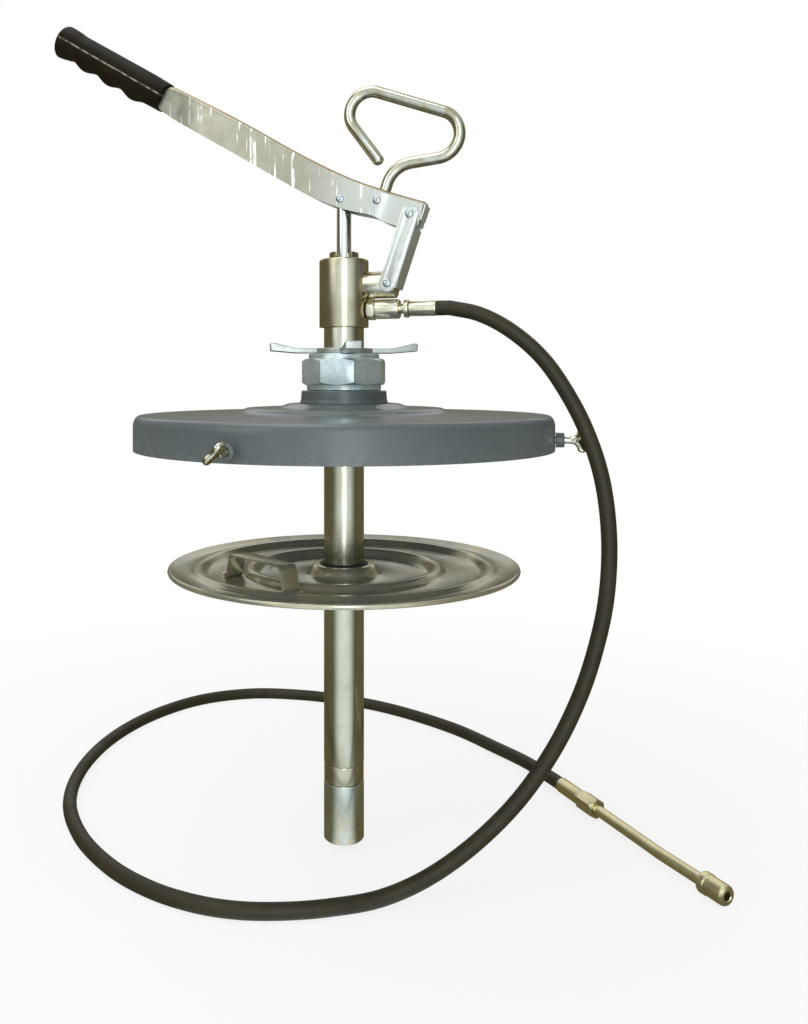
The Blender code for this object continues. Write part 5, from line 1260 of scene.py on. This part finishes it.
# %% Carrying loop
BAR_BENDS = (                         # each a straight run, the turn after it and its radius
    (0.0216, -1.153, 0.0230), (0.0230, 2.684, 0.0190), (0.0586, 2.562, 0.0177), (0.0388, 0.0, 0.0))
bar_line = [(x, 0.0, z) for x, z in bent_bar(BAR_START, BAR_HEADING, BAR_BENDS)]
bar = combine(bar_mesh("bar", bar_line, BAR_R, nose=BAR_R * 0.8), [drill(LOOP_RIVET, PIN_R + GAP)])
piece("bent_loop", bar, "lever", loop_zinc, ("carry_loop",))
print("loop bar", round(sum(math.dist(a, b) for a, b in zip(bar_line, bar_line[1:])), 3), "m long")

# %% [markdown]
# ## Link and its bracket
# The link is a short channel whose cheeks straddle the lever's narrow end above and a
# flattened stub on the head below. The outline of its cheeks is cut from a long channel.

# %% Link and bracket
tall = math.dist(LINK_FOOT, LINK_TOP)
lean = math.atan2(LINK_TOP[0] - LINK_FOOT[0], LINK_TOP[1] - LINK_FOOT[1])
NEAR, FAR, LINK_SHEET, LINK_CORNER = 0.0066, 0.0086, 0.0020, 0.0024
WEB_DROP, WEB_SHORT = 0.0015, 0.0095


def link_section(outer, reach, corner):
    edge = [(-NEAR, -outer), (reach - corner - 0.0003, -outer)]
    edge += arc((reach - corner, -outer + corner), corner, -math.pi / 2, 0, 8)
    edge.append((reach, -outer + corner + 0.0003))
    return edge + [(x, -y) for x, y in reversed(edge)]


outside = link_section(LINK_OUTER, FAR, LINK_CORNER)
inside = link_section(LINK_INNER, FAR - LINK_SHEET, LINK_CORNER - LINK_SHEET * 0.7)
ring = outside + inside[::-1]
link_mesh = prism_mesh("link", ring, -NEAR - 0.003, tall + NEAR + 0.005)
outline = arc((0, 0), NEAR, math.pi, math.pi * 1.5 + 0.9, 24)
outline += [(FAR - LINK_SHEET - 0.0006, -WEB_DROP), (FAR + 0.001, -WEB_DROP), (FAR + 0.001, tall - 0.006)]
outline += arc((0, tall), NEAR + 0.0002, -0.30, math.pi, 28)
cheeks = plate_mesh("cheeks", outline, 0.06)
gap_low = tall - WEB_SHORT
web_gap = prism_mesh("web_gap", rectangle(FAR - 0.0055, FAR + 0.0025, LINK_INNER - 0.0002), gap_low,
                     gap_low + 0.03)
link_mesh = combine(link_mesh, [cheeks], "INTERSECT", 30)
link_pose = Matrix.Translation((LINK_FOOT[0], 0, LINK_FOOT[1])) @ Matrix.Rotation(lean, 4, "Y")
link_mesh = moved(combine(link_mesh, [web_gap], sharp=30), link_pose)
link_mesh = combine(link_mesh, [drill(at, PIN_R + GAP) for at in (LINK_FOOT, LINK_TOP)], sharp=30)
piece("cheek_link", bevelled(link_mesh, 0.0002, 2, 40, 30), "link", bright_zinc, ("link",))

BRACKET_R, BRACKET_END = 0.0110, 0.0445
stub = turned_mesh("stub", fillet([(0, 0.0), (BRACKET_R, 0.0), (BRACKET_R, BRACKET_END, 0.0008),
                                   (0, BRACKET_END)]), 96)
stub = moved(stub, Matrix.Translation((0, 0, LINK_FOOT[1])) @ ALONG_X)
flat = END_HALF - GAP
flats_tools = [loft_mesh("flat", [[(x, side * flat + side * d, z) for x, d in
                                   ((-0.01, 0), (0.06, 0), (0.06, 0.01), (-0.01, 0.01))][::side]
                                  for z in (0.08, 0.14)]) for side in (-1, 1)]
seat = cylinder("seat", HEAD_R + GAP, 0.0, 0.2)
stub = combine(stub, [*flats_tools, seat, drill(LINK_FOOT, PIN_R + GAP)])
piece("bracket_stub", bevelled(stub, 0.0004, 2, 35), "pump", bracket_zinc,
      ("link_bracket",))
print("link", round(tall, 4), "m between pins")

# %% [markdown]
# ## Outlet fittings
# A hexagon nipple screws into the head, a long round union nut turns on it, and the hose tail
# with its pressed ferrule follows. All are small turned parts along +X. The hexagon's corners
# are chamfered as on any bought nut, by crossing the prism with a turned blank.

# %% Outlet
along_outlet = Matrix.Translation((0, 0, HOSE_START[2])) @ ALONG_X


def chamfered_hexagon(flats_wide, low, high, turn, bore):
    """A hexagon whose corners are turned down at both ends, with a hole through it."""
    corner = flats_wide / 2 / math.cos(math.pi / 6)
    hexagon = prism_mesh("hexagon", polygon(flats_wide, 6, turn), low - 0.001, high + 0.001)
    cone = (corner - flats_wide / 2) * 0.62
    blank = turned_mesh("blank", [
        (0, high), (flats_wide / 2 * 0.97, high), (corner + 0.0001, high - cone),
        (corner + 0.0001, low + cone), (flats_wide / 2 * 0.97, low), (0, low)], 96)
    hexagon = combine(hexagon, [blank], "INTERSECT", 20)
    hole = cylinder("hole", bore, low - 0.01, high + 0.01, 48)
    return bevelled(combine(hexagon, [hole], "DIFFERENCE", 20), 0.00025, 2, 24, 26)


hex_in = HEAD_R + GAP
hex_out = hex_in + 0.0066
nut_in = hex_out + GAP
nut_out = nut_in + 0.0198
collar_in = nut_out + GAP + 0.0036
collar_out = collar_in + 0.0040
sleeve_in = collar_out + GAP
sleeve_out = sleeve_in + 0.0222
hexagon = chamfered_hexagon(0.0154, hex_in, hex_out, 0.75 - math.pi / 2, 0.0035)
piece("outlet_hexagon", hexagon, "pump", olive_zinc, ("outlet_nipple",), along_outlet)
swivel = fillet([(0.0038, nut_out), (0.0080, nut_out, 0.0012), (0.0080, nut_in, 0.0009), (0.0038, nut_in)])
turned_piece("union_nut", swivel, "pump", olive_zinc, ("outlet_swivel",), along_outlet)
tail = fillet([
    (0.0020, nut_out - 0.004), (0.0036, nut_out - 0.004), (0.0036, nut_out + GAP), (0.0040, nut_out + GAP),
    (0.0040, collar_in), (0.0073, collar_in, 0.0010), (0.0073, collar_out, 0.0010), (0.0040, collar_out),
    (0.0028, collar_out), (0.0028, sleeve_out - 0.001), (0.0020, sleeve_out - 0.001)])
turned_piece("tail_collar", tail, "pump", olive_zinc, ("hose_tail",), along_outlet)


def ferrule_profile(low, high, radius, bore):
    """A pressed ferrule with a rounded edge at each end."""
    return fillet([(bore, high), (radius, high, 0.0010), (radius, low, 0.0008), (bore, low)])


turned_piece("outlet_ferrule", ferrule_profile(sleeve_in, sleeve_out, 0.0062, 0.0031), "pump", olive_zinc,
             ("hose_ferrule",), along_outlet)
print("outlet fittings end at", round(sleeve_out, 4))

# %% [markdown]
# ## Nozzle
# The far end of the hose carries a ferrule, a hexagon nut, a thin pipe with one slight bend
# and a grease coupler. They lie on the floor along their own line, so they are made along a
# local axis and then laid down.

# %% Nozzle
lay_nozzle = Matrix.Translation(NOZZLE_AT) @ Matrix.Rotation(NOZZLE_HEADING, 4, "Z") @ ALONG_X
sleeve_in = GAP
sleeve_end = sleeve_in + 0.0290
collar_in = sleeve_end + GAP
hex_in = collar_in + 0.0036
hex_out = hex_in + 0.0205
PIPE_R = 0.0046
end_ferrule = turned_piece("end_sleeve", ferrule_profile(sleeve_in, sleeve_end, 0.0066, 0.0028), "pump",
                           laid_zinc, ("end_ferrule",), lay_nozzle)
nut = chamfered_hexagon(0.0152, hex_in, hex_out, math.tau / 12 - math.pi / 2, PIPE_R + GAP)
collar = fillet([(0.0026, hex_in + 0.0004), (0.0072, hex_in + 0.0004), (0.0072, collar_in, 0.0008),
                 (0.0026, collar_in)])
collar = turned_mesh("collar", collar, loop=True)
nut = combine(nut, [collar], "UNION", 24)
hex_nut = piece("hexagon_nut", nut, "pump", laid_zinc, ("nozzle_nut",), lay_nozzle)

dress(laid_zinc, "nozzle_pipe", "grease_coupler")
print("nozzle laid at", NOZZLE_AT)

# %% [markdown]

# %% [markdown]
# ## Follower plate
# A thin pressed plate slides on the tube and keeps the oil's surface flat as the pail empties.
# Two round ribs stiffen it, its rim is rolled under, a rubber wiper seals it to the tube, and
# a strap lets it be lifted out.

# %% Follower plate
FOLLOWER_Z, FOLLOWER_R = -0.1185, 0.1432
PANEL_DROP, EDGE_DROP, HEM = 0.0062, 0.0027, 0.0022
points = [(0.0200, -0.0005), (0.0245, -0.0005)]
points += step((0.0245, -0.0005), (0.0315, -0.0092), 10)[1:]
for middle, top, beyond in ((0.0765, -0.0013, -PANEL_DROP), (0.1185, 0.0, -EDGE_DROP)):
    before = points[-1][1]
    points += step((middle - 0.0075, before), (middle - 0.0020, top))
    points += step((middle + 0.0020, top), (middle + 0.0075, beyond))
hem_r = FOLLOWER_R - HEM
points.append((hem_r - 0.0025, -EDGE_DROP))
points += arc((hem_r, -HEM), HEM, math.pi / 2, -math.pi * 0.85, 14)
points = [(r, FOLLOWER_Z + z) for r, z in points]
pan = turned_mesh("follower_pan", sheet_profile(points, 0.0008), 180, loop=True, sharp=60)
piece("follower_pan", pan, "follower", plate_zinc, ("follower_plate",))
dress(seal_rubber, "follower_wiper")

STRAP_ANGLE, STRAP_CHORD, STRAP_HALF = -2.131, 0.0835, 0.0415
STRAP_WIDE, STRAP_SHEET, STRAP_RISE, STRAP_FOOT = 0.0160, 0.0012, 0.0195, 0.0110
STRAP_BEND, STRAP_LEAN, STRAP_RUN = 0.0050, 1.35, 0.0124
leg = STRAP_HALF - STRAP_RUN
half_line = [(STRAP_HALF + STRAP_FOOT, 0.0)]
half_line += arc((STRAP_HALF, STRAP_BEND), STRAP_BEND, -math.pi / 2, -math.pi / 2 - STRAP_LEAN, 12)
half_line += arc((leg, STRAP_RISE - STRAP_BEND), STRAP_BEND, math.pi / 2 - STRAP_LEAN, math.pi / 2, 12)
strap_line = half_line + [(-x, z) for x, z in reversed(half_line)]
strap = plate_mesh("strap", sheet_profile(strap_line, -STRAP_SHEET)[::-1], STRAP_WIDE)
strap_z = FOLLOWER_Z - PANEL_DROP + GAP
lay_strap = (Matrix.Rotation(STRAP_ANGLE + math.pi / 2, 4, "Z")
             @ Matrix.Translation((0, -STRAP_CHORD, strap_z)))
strap = bevelled(strap, 0.0003, 2, 50)
piece("lifting_strap", strap, "follower", plate_zinc, ("strap_handle",), lay_strap)
dress(olive_zinc, "strap_rivet_1", "strap_rivet_2")
print("follower", round(2 * FOLLOWER_R, 4), "m across")

# %% [markdown]
# ## Sizes and finish
# Both boxes are printed: the imported model's and the visual model's. The visual model
# must stay inside the imported model's box.

# %% Finish
visual_box = plain(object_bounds())
print("visual box:", visual_box)
